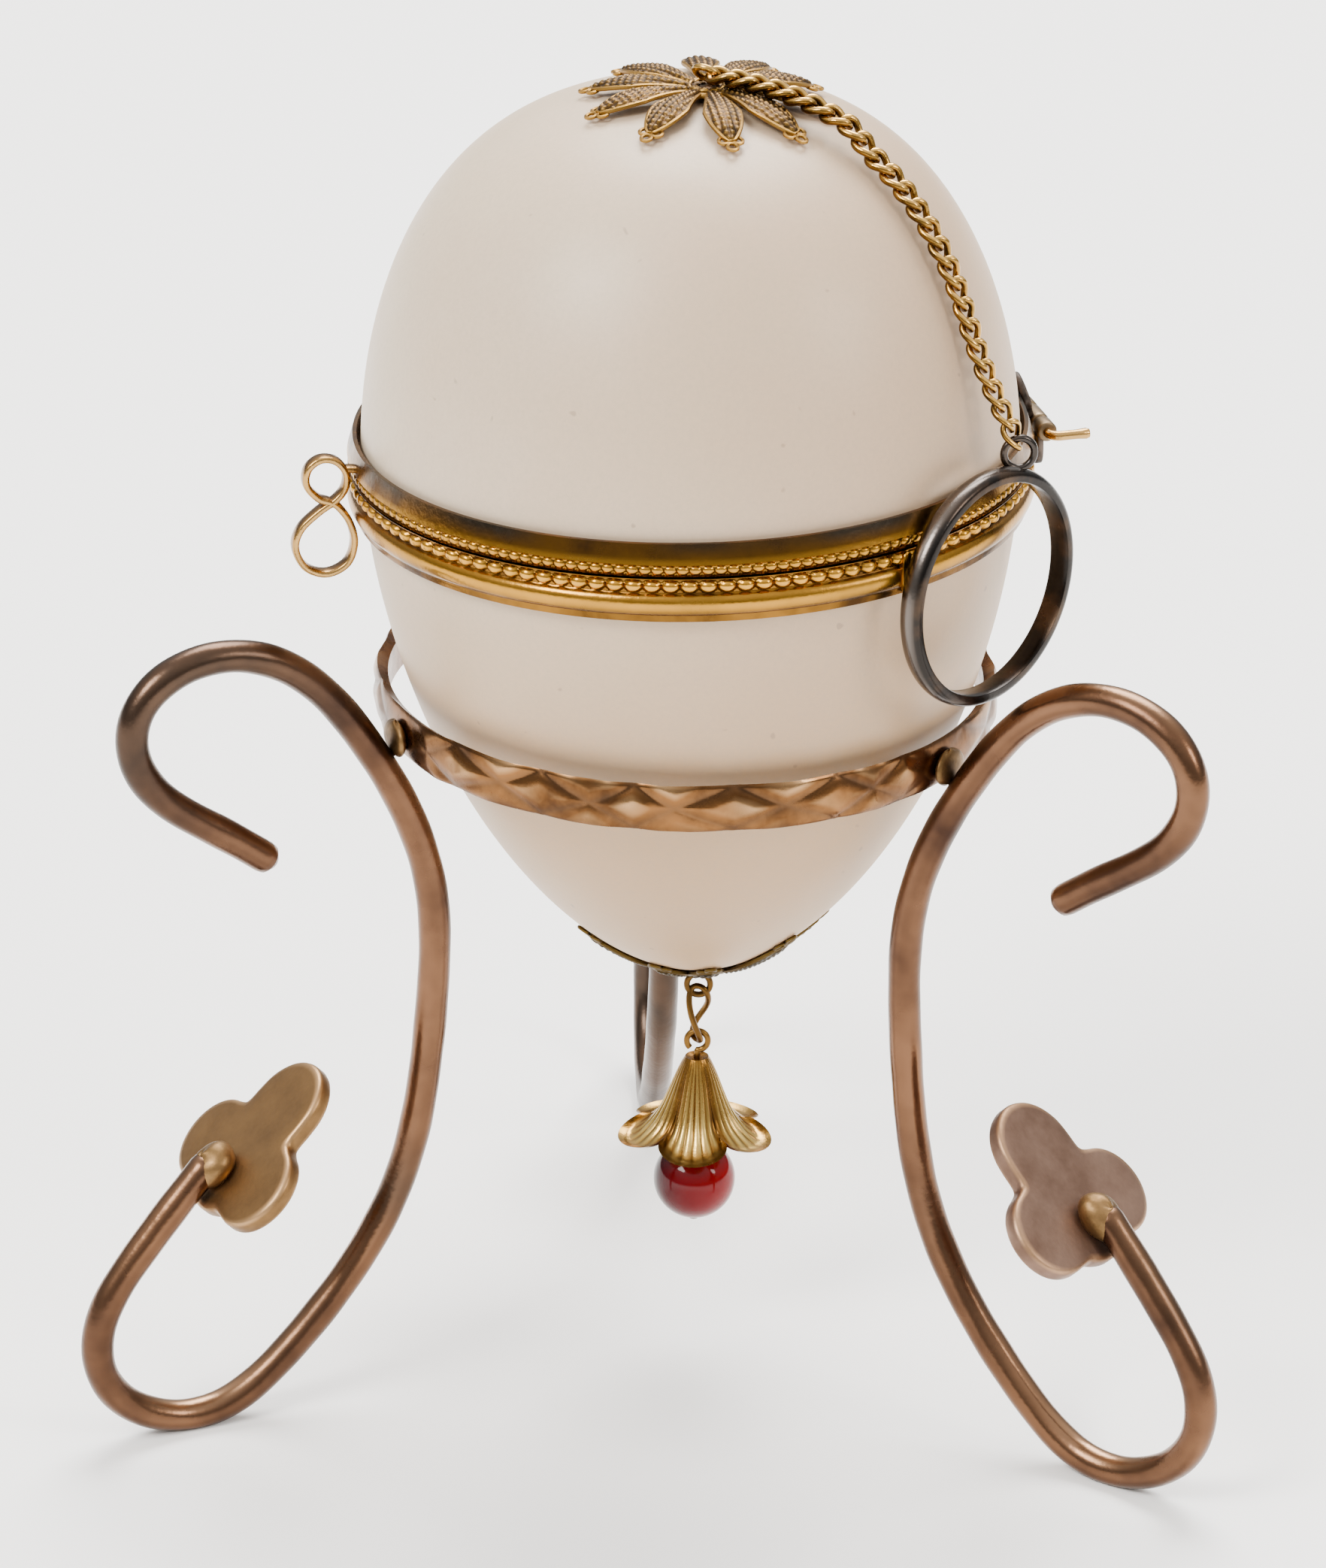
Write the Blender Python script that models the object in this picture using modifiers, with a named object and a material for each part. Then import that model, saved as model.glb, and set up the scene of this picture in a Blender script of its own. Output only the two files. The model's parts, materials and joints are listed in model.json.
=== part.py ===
"""Egg-shaped sewing box: a hinged egg of opal glass in gilt brass mounts, on a stand of scrolled wire.

+X is to the right of the front view, +Y to the back and +Z up. The feet stand on z = 0, and the
middle of the whole object's box is over the origin. Lengths are in metres, angles in degrees.
"""
import math

import bmesh
import bpy
import numpy as np
from mathutils import Matrix, Vector

# Clearance left between two pieces that touch
GAP = 0.0003

# Glass egg: radius at the seam, height above it, depth below it, and the powers that shape each half
GLASS_RADIUS = 0.030
GLASS_WALL = 0.0024
LID_HEIGHT = 0.034
LID_CURVE = (2.0, 0.36)
BOWL_DEPTH = 0.051
BOWL_CURVE = (1.75, 0.57)

# How the egg stands in the stand's ring: height of its seam over the ring's middle, sideways shift,
# and lean to the left
SEAM_OVER_RING = 0.023
EGG_SHIFT = 0.0008
EGG_LEAN = 1.9

# Gilt rims round the mouth of each half
RIM_WALL = 0.00095
RIM_LIP = 0.00045
RIM_FLANGE = 0.0006
RIM_PARTING = 0.0003
LID_RIM_HEIGHT = 0.0030
BOWL_RIM_HEIGHT = 0.0043

# Hinge on the right, with a pin whose front end is bent outwards
HINGE_AZIMUTH = 14
BARREL_RADIUS = 0.0011
PIN_RADIUS = 0.00045
LID_KNUCKLE = 0.0034
BOWL_KNUCKLE = 0.002
PLATE_THICKNESS = 0.0007
PLATE_INSET = 0.0001
PLATE_MARGIN = 0.0002
LID_PLATE_HALF_WIDTH = 0.0023
LID_PLATE_HEIGHT = 0.0078
LID_PLATE_TILT = 16
BOWL_PLATE_DEPTH = 0.0034
PIN_BEND_RADIUS = 0.0009
PIN_TAIL = 0.0036

# Figure-of-eight thumbpiece on the left: each loop's distance out from the rim, height over the
# seam and radius
THUMB_AZIMUTH = 194
THUMB_STRIP_WIDTH = 0.0012
THUMB_STRIP_THICKNESS = 0.0006
THUMB_UPPER_LOOP = (0.0016, 0.0021, 0.00145)
THUMB_NECK = (0.0006, -0.0010, 0.0009)
THUMB_LOWER_LOOP = (0.0001, -0.0046, 0.0030)
THUMB_TAB = (0.0, 0.0018, 0.0006)

# Stars that hug the two ends of the egg. The top one sits off the pole, towards the chain.
STAR_PETALS = 10
STAR_THICKNESS = 0.0005
STAR_VALLEY = 0.0034
TOP_STAR_RADIUS = 0.0120
BOTTOM_STAR_RADIUS = 0.0125
TOP_STAR_SHIFT = 0.0022

# Thin wire of the chain, the loops, the drop's link and its pin
WIRE_RADIUS = 0.0003
LOOP_RADIUS = 0.0011

# Chain from the top star to the finger ring
CHAIN_AZIMUTH = -27
CHAIN_SWAY = -4
CHAIN_LINKS = 24
CHAIN_END_HEIGHT = 0.0062
CHAIN_END_STANDOFF = 0.0031
CHAIN_LIFT_OFF = 0.0108

# Finger ring, hanging plumb from the chain
RING_OUTER_RADIUS = 0.011
RING_BAND_THICKNESS = 0.0012
RING_BAND_WIDTH = 0.0027
RING_FACING = -43
RING_TURN = 17
BAIL_RADIUS = 0.0014
BAIL_WIRE_RADIUS = 0.00035

# Drop under the egg: link, bell flower and ruby bead, on a pin with an eye, a collar and a head
DROP_LINK_LENGTH = 0.0056
DROP_LINK_WIDTH = 0.0022
BELL_RADIUS = 0.0075
BELL_HEIGHT = 0.0090
BELL_WALL = 0.0005
BELL_PETALS = 5
BEAD_RADIUS = 0.0039
PIN_EYE_RADIUS = 0.001
PIN_COLLAR_DROP = 0.0021
PIN_COLLAR_RATIO = 2.5
PIN_HEAD_RATIO = 1.8

# Stand: a flat ring on three scrolled wires that end in clover-leaf feet
STAND_RING_HEIGHT = 0.067
STAND_RING_DEPTH = 0.0044
STAND_RING_WALL = 0.0015
LEG_WIRE_RADIUS = 0.0015
LEG_AZIMUTHS = {"left": 205.5, "right": 325, "back": 93}
FOOT_FLAT_DEPTH = 0.0003
LEAF_THICKNESS = 0.0018
LEAF_OVERLAP = 0.0030
LEAF_TURN = 4
LEAF_SIDE_LOBE_RADIUS = 0.0044
LEAF_SIDE_LOBE_OFFSET = 0.0051
LEAF_TIP_LOBE_RADIUS = 0.0048
LEAF_TIP_LOBE_OFFSET = 0.0070

# The bend of one leg, from the tip of its upper scroll to the leaf. Each pair is the distance out
# from the stand ring's face and the height over the floor, as shares of the ring's height.
LEG_BEND_SHARES = [
    (0.182, 0.842), (0.275, 0.915), (0.355, 0.973), (0.385, 1.081), (0.300, 1.149), (0.187, 1.139),
    (0.097, 1.066), (0.024, 0.955), (-0.024, 0.857), (-0.056, 0.700), (-0.024, 0.390), (0.069, 0.199),
    (0.227, 0.042), (0.316, 0.020), (0.428, 0.078), (0.445, 0.194), (0.385, 0.280), (0.332, 0.350),
    (0.275, 0.412),
]

# Facets
TURN_STEPS = 28
SHELL_STEPS = 8
LEG_STEPS = 32

PARTING = RIM_PARTING / 2
RIM_INNER = GLASS_RADIUS + GAP
RIM_OUTER = RIM_INNER + RIM_WALL
HINGE_REACH = RIM_OUTER + GAP + BARREL_RADIUS
KNUCKLE_CLEARANCE = BARREL_RADIUS + GAP
LINK_ACROSS = 2 * (WIRE_RADIUS + BAIL_WIRE_RADIUS + GAP)
GLASS_LIP = PARTING + RIM_FLANGE + GAP


def polar(radius, azimuth, z=0.0):
    """The point at a radius and an azimuth about the Z axis."""
    angle = math.radians(azimuth)
    return Vector((radius * math.cos(angle), radius * math.sin(angle), z))


def egg_half(above):
    """Height and curve of one half of the egg."""
    return (LID_HEIGHT, LID_CURVE) if above else (BOWL_DEPTH, BOWL_CURVE)


def egg_radius(z, inset=0.0):
    """Radius of the egg at a height over the seam, or of its inner wall with an inset."""
    height, (power, root) = egg_half(z >= 0)
    share = min(abs(z) / (height - inset), 1.0)
    return (GLASS_RADIUS - inset) * (1 - share ** power) ** root


def egg_height(radius, above, inset=0.0):
    """Distance from the seam, always positive, at which one half of the egg has a radius."""
    height, (power, root) = egg_half(above)
    share = min(radius / (GLASS_RADIUS - inset), 1.0)
    return (height - inset) * (1 - share ** (1 / root)) ** (1 / power)


def collection(name):
    """A new collection in the scene."""
    group = bpy.data.collections.new(name)
    bpy.context.scene.collection.children.link(group)
    return group


def material(name, colour, metallic, roughness):
    """A plain finish: linear colour, metallic value and roughness."""
    finish = bpy.data.materials.new(name)
    finish.use_nodes = True
    shader = finish.node_tree.nodes["Principled BSDF"]
    shader.inputs["Base Color"].default_value = (*colour, 1.0)
    shader.inputs["Metallic"].default_value = metallic
    shader.inputs["Roughness"].default_value = roughness
    return finish


def empty(name, parent=None, matrix=Matrix()):
    """An empty that carries other objects, placed in its parent's frame."""
    carrier = bpy.data.objects.new(name, None)
    PARTS.objects.link(carrier)
    carrier.parent = parent
    carrier.matrix_basis = matrix
    return carrier


def place(name, data, finish, parent, matrix=Matrix(), rest=Matrix()):
    """A piece of the object. rest is the parent's own place in the frame the piece is drawn in."""
    piece = bpy.data.objects.new(name, data)
    PARTS.objects.link(piece)
    data.materials.clear()
    data.materials.append(finish)
    piece.parent = parent
    piece.matrix_parent_inverse = rest.inverted()
    piece.matrix_basis = matrix
    return piece


def as_tool(piece):
    """Turn a piece into a tool for a Boolean, which isn't part of the object itself."""
    PARTS.objects.unlink(piece)
    TOOLS.objects.link(piece)
    piece.hide_render = True
    piece.display_type = "WIRE"
    return piece


def combine(piece, tool, operation):
    """Fuse a tool to a piece, or cut it away."""
    modifier = piece.modifiers.new(operation.title(), "BOOLEAN")
    modifier.operation = operation
    modifier.object = as_tool(tool)


def profile_mesh(name, points, closed):
    """A line of edges in the XZ plane, for a Screw modifier."""
    count = len(points)
    edges = [(i, (i + 1) % count) for i in range(count if closed else count - 1)]
    mesh = bpy.data.meshes.new(name)
    mesh.from_pydata([(r, 0.0, z) for r, z in points], edges, [])
    return mesh


def turned(name, points, finish, parent, closed=True, steps=TURN_STEPS, **frame):
    """A turned piece: a profile of radius and height, down its outer side, spun round Z."""
    piece = place(name, profile_mesh(name, points, closed), finish, parent, **frame)
    screw = piece.modifiers.new("Turn", "SCREW")
    screw.axis = "Z"
    screw.steps = screw.render_steps = steps
    screw.use_merge_vertices = True
    screw.merge_threshold = 0.00001
    screw.use_smooth_shade = True
    return piece


def wire(name, points, radius, finish, parent, closed=False, sides=4, radii=None, **frame):
    """A bent wire along a list of points, with 4 + 2n sides."""
    curve = bpy.data.curves.new(name, "CURVE")
    curve.dimensions = "3D"
    curve.bevel_depth = radius
    curve.bevel_resolution = (sides - 4) // 2
    curve.use_fill_caps = True
    spline = curve.splines.new("POLY")
    spline.points.add(len(points) - 1)
    spline.points.foreach_set("co", [c for p in points for c in (*p, 1.0)])
    if radii is not None:
        spline.points.foreach_set("radius", radii)
    spline.use_cyclic_u = closed
    return place(name, curve, finish, parent, **frame)


def plate(name, outlines, thickness, finish, parent, **frame):
    """A flat plate in its own XY plane, from an outline and its holes."""
    curve = bpy.data.curves.new(name, "CURVE")
    curve.dimensions = "2D"
    curve.fill_mode = "BOTH"
    curve.extrude = thickness / 2
    for outline in outlines:
        spline = curve.splines.new("POLY")
        spline.points.add(len(outline) - 1)
        spline.points.foreach_set("co", [c for x, y in outline for c in (x, y, 0.0, 1.0)])
        spline.use_cyclic_u = True
    return place(name, curve, finish, parent, **frame)


def solidified(piece):
    """Swap a curve for its own mesh, with the caps welded on, so that it takes a Boolean."""
    bpy.context.view_layer.update()
    graph = bpy.context.evaluated_depsgraph_get()
    mesh = bpy.data.meshes.new_from_object(piece.evaluated_get(graph))
    welded = bmesh.new()
    welded.from_mesh(mesh)
    bmesh.ops.remove_doubles(welded, verts=welded.verts, dist=0.000001)
    bmesh.ops.recalc_face_normals(welded, faces=welded.faces)
    welded.to_mesh(mesh)
    welded.free()
    name, finish, parent = piece.name, piece.data.materials[0], piece.parent
    rest, matrix = piece.matrix_parent_inverse.inverted(), piece.matrix_basis.copy()
    bpy.data.objects.remove(piece)
    return place(name, mesh, finish, parent, matrix=matrix, rest=rest)


def cylinder(name, radius, length, parent, matrix, sides=12, rest=Matrix()):
    """A solid cylinder along its own Y axis."""
    shape = bmesh.new()
    turn = Matrix.Rotation(math.radians(90), 4, "X")
    bmesh.ops.create_cone(shape, cap_ends=True, segments=sides, radius1=radius, radius2=radius,
                          depth=length, matrix=turn)
    mesh = bpy.data.meshes.new(name)
    shape.to_mesh(mesh)
    shape.free()
    return place(name, mesh, GILT, parent, matrix=matrix, rest=rest)


def circle(centre, radius, steps=20):
    """Points round a circle in a plane."""
    angles = np.linspace(0, 2 * math.pi, steps, endpoint=False)
    return [(centre[0] + radius * math.cos(a), centre[1] + radius * math.sin(a)) for a in angles]


def outline_of_discs(discs, steps):
    """The outer outline of overlapping discs, as far as rays from the origin reach."""
    outline = []
    for angle in np.linspace(0, 2 * math.pi, steps, endpoint=False):
        ray = np.array((math.cos(angle), math.sin(angle)))
        reach = 0.0
        for x, y, radius in discs:
            along = ray @ (x, y)
            inside = radius ** 2 - (x ** 2 + y ** 2 - along ** 2)
            if inside > 0:
                reach = max(reach, along + math.sqrt(inside))
        outline.append(tuple(ray * reach))
    return outline


def stadium(length, width, steps=8):
    """Centre line of an oval link in the XY plane, flat across both ends, with its length along X."""
    half, radius = (length - width) / 2, width / 2
    angles = np.linspace(-math.pi / 2, math.pi / 2, steps // 2)
    reach = radius / math.cos(angles[steps // 4])
    right = [(half + reach * math.cos(a), radius * math.sin(a), 0.0) for a in angles]
    return right + [(-x, -y, 0.0) for x, y, _ in right]


def loop(radius, steps=12):
    """Centre line of a round loop in the XY plane."""
    return [(x, y, 0.0) for x, y in circle((0, 0), radius, steps)]


def smooth_line(points, count):
    """Evenly spaced points on a Catmull-Rom curve through the given ones."""
    p = np.array(points)
    p = np.vstack([2 * p[0] - p[1], p, 2 * p[-1] - p[-2]])
    t = np.linspace(0, 1, 24, endpoint=False)[:, None]
    spans = []
    for a, b, c, d in zip(p[:-3], p[1:-2], p[2:-1], p[3:]):
        spans.append(0.5 * (2 * b + (c - a) * t + (2 * a - 5 * b + 4 * c - d) * t ** 2
                            + (3 * b - a - 3 * c + d) * t ** 3))
    fine = np.vstack(spans + [p[-2:-1]])
    run = np.concatenate([[0], np.cumsum(np.linalg.norm(np.diff(fine, axis=0), axis=1))])
    even = np.linspace(0, run[-1], count)
    return np.stack([np.interp(even, run, fine[:, k]) for k in range(fine.shape[1])], axis=1)


def axes_matrix(x, y, z, origin):
    """The matrix that takes the X, Y and Z axes to three directions at an origin."""
    matrix = Matrix((x, y, z)).transposed().to_4x4()
    matrix.translation = origin
    return matrix


def glass_shell(name, above, parent, **frame):
    """One half of the egg: a hollow shell, open at the seam."""
    side = 1 if above else -1
    angles = np.radians(np.linspace(0, 90, SHELL_STEPS))
    wall = []
    for inset in (0.0, GLASS_WALL):
        mouth = egg_radius(side * GLASS_LIP, inset)
        radii = mouth * np.sin(angles)
        wall.append([(r, side * egg_height(r, above, inset)) for r in radii])
        wall[-1][-1] = (mouth, side * GLASS_LIP)
    points = wall[0] + wall[1][::-1]
    return turned(name, points if above else points[::-1], OPAL, parent, closed=False, **frame)


def star(name, above, radius, shift, parent, **frame):
    """A thin star of petals, draped on one end of the egg, with its middle shifted off the pole."""
    side = 1 if above else -1
    per_petal, rings = 4, 3
    count = STAR_PETALS * per_petal
    angles = np.arange(count) * 2 * math.pi / count
    off_tip = np.abs((np.arange(count) / per_petal + 0.5) % 1 - 0.5) * 2
    reach = STAR_VALLEY + (radius - STAR_VALLEY) * (1 - off_tip) ** 0.9
    shape = bmesh.new()
    sheets = []
    for lift in (GAP + STAR_THICKNESS, GAP):
        pole = shape.verts.new((shift.x, shift.y, side * (egg_height(shift.length, above) + lift)))
        rows = []
        for step in range(1, rings + 1):
            x = shift.x + reach * step / rings * np.cos(angles)
            y = shift.y + reach * step / rings * np.sin(angles)
            z = [side * (egg_height(q, above) + lift) for q in np.hypot(x, y)]
            rows.append([shape.verts.new(v) for v in zip(x, y, z)])
        sheets.append((pole, rows))
    for pole, rows in sheets:
        for i in range(count):
            j = (i + 1) % count
            shape.faces.new((pole, rows[0][i], rows[0][j]))
            for low, high in zip(rows, rows[1:]):
                shape.faces.new((low[i], high[i], high[j], low[j]))
    upper, lower = sheets[0][1][-1], sheets[1][1][-1]
    for i in range(count):
        j = (i + 1) % count
        shape.faces.new((upper[i], lower[i], lower[j], upper[j]))
    bmesh.ops.recalc_face_normals(shape, faces=shape.faces)
    mesh = bpy.data.meshes.new(name)
    shape.to_mesh(mesh)
    shape.free()
    return place(name, mesh, GILT, parent, **frame)


def rims(bowl_frame, lid_frame):
    """The two gilt rims: a band outside the glass, and a flange over its lip."""
    inner = egg_radius(0, GLASS_WALL) - GAP
    low, lip = PARTING, RIM_INNER + RIM_LIP
    shoulder = PARTING + 0.4 * (LID_RIM_HEIGHT - PARTING)
    turned("lid_rim", [
        (RIM_INNER, LID_RIM_HEIGHT), (lip, LID_RIM_HEIGHT), (RIM_OUTER, shoulder), (RIM_OUTER, low),
        (inner, low), (inner, low + RIM_FLANGE), (RIM_INNER, low + RIM_FLANGE),
    ], GILT, **lid_frame)
    ridge = 0.45 * BOWL_RIM_HEIGHT
    turned("bowl_rim", [
        (RIM_OUTER, -low), (RIM_OUTER, -ridge), (RIM_OUTER - 0.15 * RIM_WALL, -ridge - low),
        (RIM_OUTER, -ridge - 3 * low), (lip, -BOWL_RIM_HEIGHT), (RIM_INNER, -BOWL_RIM_HEIGHT),
        (RIM_INNER, -low - RIM_FLANGE), (inner, -low - RIM_FLANGE), (inner, -low),
    ], GILT, **bowl_frame)


def hinge(bowl_frame, lid_frame, hinge_place):
    """The hinge: a plate and knuckle on the lid, a plate and two knuckles on the bowl, and the pin."""
    half_lid = LID_KNUCKLE / 2
    half_bowl = half_lid + GAP + BOWL_KNUCKLE
    bore = PIN_RADIUS + GAP
    seat = PLATE_INSET + PLATE_THICKNESS / 2 - BARREL_RADIUS

    tilt = math.radians(LID_PLATE_TILT)
    up = Vector((-math.sin(tilt), 0, math.cos(tilt)))
    out = Vector((math.cos(tilt), 0, math.sin(tilt)))
    bend = Vector((seat, 0, PARTING + LID_RIM_HEIGHT / 3))
    neck, shoulder = half_lid - PLATE_MARGIN, KNUCKLE_CLEARANCE
    tongue = [
        (neck, 0), (neck, shoulder), (LID_PLATE_HALF_WIDTH, shoulder + GAP),
        (LID_PLATE_HALF_WIDTH, 0.6 * LID_PLATE_HEIGHT),
        (0.5 * LID_PLATE_HALF_WIDTH, 0.85 * LID_PLATE_HEIGHT),
        (0, LID_PLATE_HEIGHT),
    ]
    tongue += [(-x, y) for x, y in tongue[-2::-1]]
    lid_place = hinge_place @ axes_matrix(Vector((0, 1, 0)), up, out, bend - up * bend.z)
    lid_plate = solidified(plate("lid_hinge_plate", [tongue], PLATE_THICKNESS, GILT,
                                 matrix=lid_place, **lid_frame))
    combine(lid_plate, cylinder("lid_knuckle", BARREL_RADIUS, LID_KNUCKLE, matrix=hinge_place,
                                **lid_frame), "UNION")
    combine(lid_plate, cylinder("lid_knuckle_bore", bore, LID_KNUCKLE * 2, matrix=hinge_place,
                                **lid_frame), "DIFFERENCE")

    notch, edge = half_lid + GAP + PLATE_MARGIN, half_bowl - PLATE_MARGIN
    fork = [(edge, 0), (edge, -0.8 * BOWL_PLATE_DEPTH), (0.6 * edge, -BOWL_PLATE_DEPTH),
            (-0.6 * edge, -BOWL_PLATE_DEPTH), (-edge, -0.8 * BOWL_PLATE_DEPTH), (-edge, 0),
            (-notch, 0), (-notch, -shoulder), (notch, -shoulder), (notch, 0)]
    flat = axes_matrix(Vector((0, 1, 0)), Vector((0, 0, 1)), Vector((1, 0, 0)), Vector((seat, 0, 0)))
    bowl_plate = solidified(plate("bowl_hinge_plate", [fork], PLATE_THICKNESS, GILT,
                                  matrix=hinge_place @ flat, **bowl_frame))
    for name, side in (("front", -1), ("back", 1)):
        centre = side * (half_bowl - BOWL_KNUCKLE / 2)
        at = hinge_place @ Matrix.Translation((0, centre, 0))
        combine(bowl_plate, cylinder(f"bowl_knuckle_{name}", BARREL_RADIUS, BOWL_KNUCKLE, matrix=at,
                                     **bowl_frame), "UNION")
    combine(bowl_plate, cylinder("bowl_knuckle_bore", bore, half_bowl * 4, matrix=hinge_place,
                                 **bowl_frame), "DIFFERENCE")

    end = half_bowl + GAP
    bend = [(PIN_BEND_RADIUS * (1 - math.cos(a)), -end - PIN_BEND_RADIUS * math.sin(a), 0)
            for a in np.radians(np.linspace(0, 90, 5))]
    path = [(0, end, 0)] + bend + [(PIN_TAIL, -end - PIN_BEND_RADIUS, 0)]
    wire("hinge_pin", path, PIN_RADIUS, GILT, sides=8, matrix=hinge_place, **bowl_frame)


def thumbpiece(lid_frame):
    """A flat strip bent into a figure of eight, edge on to the rim, with a tab to the lid's rim."""
    face = RIM_OUTER + GAP
    neck = Vector((face + THUMB_NECK[0] + THUMB_NECK[2], 0, THUMB_NECK[1]))
    discs = []
    for outset, height, radius in (THUMB_UPPER_LOOP, THUMB_NECK, THUMB_LOWER_LOOP, THUMB_TAB):
        discs.append((face + outset + radius - neck.x, height - neck.z, radius))
    holes = [circle((x, y), r - THUMB_STRIP_THICKNESS, 12) for x, y, r in (discs[0], discs[2])]
    turn = Matrix.Rotation(math.radians(THUMB_AZIMUTH), 4, "Z")
    upright = axes_matrix(Vector((1, 0, 0)), Vector((0, 0, 1)), Vector((0, -1, 0)), neck)
    solidified(plate("thumbpiece", [outline_of_discs(discs, 36)] + holes, THUMB_STRIP_WIDTH, GILT,
                     matrix=turn @ upright, **lid_frame))


def chain_line():
    """Points along the chain's middle from the top loop to the finger ring, and the way out there."""
    angles = np.radians(np.linspace(0.1, 89, 300))
    radii = egg_radius(0) * np.sin(angles)
    heights = np.array([egg_height(r, True) for r in radii])
    slope = np.stack([np.gradient(radii), np.gradient(heights)], axis=1)
    slope /= np.linalg.norm(slope, axis=1)[:, None]
    out = np.stack([-slope[:, 1], slope[:, 0]], axis=1)
    rest = GAP + LINK_ACROSS / 2 * math.sqrt(0.5) + WIRE_RADIUS
    over_star = np.clip((TOP_STAR_RADIUS * 1.3 + TOP_STAR_SHIFT - radii) / (TOP_STAR_RADIUS * 0.2), 0, 1)
    at_end = np.clip(1 - (heights - CHAIN_END_HEIGHT) / CHAIN_LIFT_OFF, 0, 1) ** 2
    lift = rest + (STAR_THICKNESS + GAP) * over_star + CHAIN_END_STANDOFF * at_end
    line = np.stack([radii, heights], axis=1) + out * lift[:, None]
    start = TOP_STAR_SHIFT + LOOP_RADIUS - 2 * WIRE_RADIUS - GAP
    keep = (line[:, 0] > start) & (line[:, 1] > CHAIN_END_HEIGHT)
    points, ways = [], []
    for (r, z), (dr, dz), share in zip(line[keep], out[keep], np.linspace(0, 1, keep.sum())):
        azimuth = CHAIN_AZIMUTH + CHAIN_SWAY * share ** 2
        points.append(polar(r, azimuth, z))
        ways.append(polar(dr, azimuth, dz))
    return np.array(points), np.array(ways)


def chain(lid_frame, swing_axis):
    """A loop on the star and a row of oval links, each a quarter turn from the next.

    The last link is square to the swing axis, and its end wire lies along it. Returns the middle of
    that wire.
    """
    points, ways = chain_line()
    run = np.concatenate([[0], np.cumsum(np.linalg.norm(np.diff(points, axis=0), axis=1))])
    nest = 2 * WIRE_RADIUS + GAP
    pitch = (run[-1] - nest) / CHAIN_LINKS
    length = pitch + nest

    def at(table, distance):
        return Vector([np.interp(distance, run, table[:, k]) for k in range(3)])

    roll = None
    for index in reversed(range(CHAIN_LINKS)):
        centre = index * pitch + length / 2
        middle = at(points, centre)
        along = (at(points, centre + length / 4) - at(points, centre - length / 4)).normalized()
        if roll is None:
            along = (along - swing_axis * (swing_axis @ along)).normalized()
            middle = at(points, index * pitch + nest / 2) + along * (length - nest) / 2
        side = at(ways, centre).cross(along).normalized()
        normal = along.cross(side)
        if roll is None:
            roll = math.atan2(swing_axis @ normal, swing_axis @ side)
            last_wire = middle + along * (length / 2)
        turn = roll + math.radians(90) * (CHAIN_LINKS - 1 - index)
        width = side * math.cos(turn) + normal * math.sin(turn)
        matrix = axes_matrix(along, width, along.cross(width), middle)
        wire(f"chain_link_{index + 1:02d}", stadium(length, LINK_ACROSS), WIRE_RADIUS, GILT,
             closed=True, matrix=matrix, **lid_frame)

    upright = along.cross(width)
    foot = egg_height(TOP_STAR_SHIFT, True) + STAR_THICKNESS + 2 * GAP + WIRE_RADIUS
    hook = polar(TOP_STAR_SHIFT, CHAIN_AZIMUTH, foot + LOOP_RADIUS * abs(upright.z))
    wire("top_loop", loop(LOOP_RADIUS), WIRE_RADIUS, GILT, closed=True,
         matrix=axes_matrix(along, upright, along.cross(upright), hook), **lid_frame)
    return last_wire


def finger_ring(pivot, axis, box):
    """A half-round finger ring with a bail, hung plumb on the chain's last link."""
    carrier = empty("finger_ring_pivot", box, Matrix.Translation(pivot))
    across, face, up = polar(1, RING_FACING + 90), polar(1, RING_FACING), Vector((0, 0, 1))
    turn = math.radians(RING_TURN)
    to_bail = across * math.sin(turn) + up * math.cos(turn)
    hang = BAIL_RADIUS - BAIL_WIRE_RADIUS - GAP - WIRE_RADIUS
    bail_centre = Vector((0, 0, -hang))
    ring_centre = bail_centre - to_bail * (RING_OUTER_RADIUS + BAIL_RADIUS - BAIL_WIRE_RADIUS / 2)
    half, outer = RING_BAND_WIDTH / 2, RING_OUTER_RADIUS
    inner = outer - RING_BAND_THICKNESS
    round_over = inner + 0.45 * RING_BAND_THICKNESS
    ring = turned("finger_ring", [
        (inner, half), (round_over, half), (outer, 0.4 * half), (outer, -0.4 * half),
        (round_over, -half), (inner, -half),
    ], STEEL, carrier, steps=24, matrix=axes_matrix(across, face.cross(across), face, ring_centre))
    level = up.cross(axis).normalized()
    bail = wire("bail", loop(BAIL_RADIUS), BAIL_WIRE_RADIUS, STEEL, carrier, closed=True,
                matrix=axes_matrix(level, axis.cross(level), axis, bail_centre))
    combine(ring, solidified(bail), "UNION")


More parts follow.
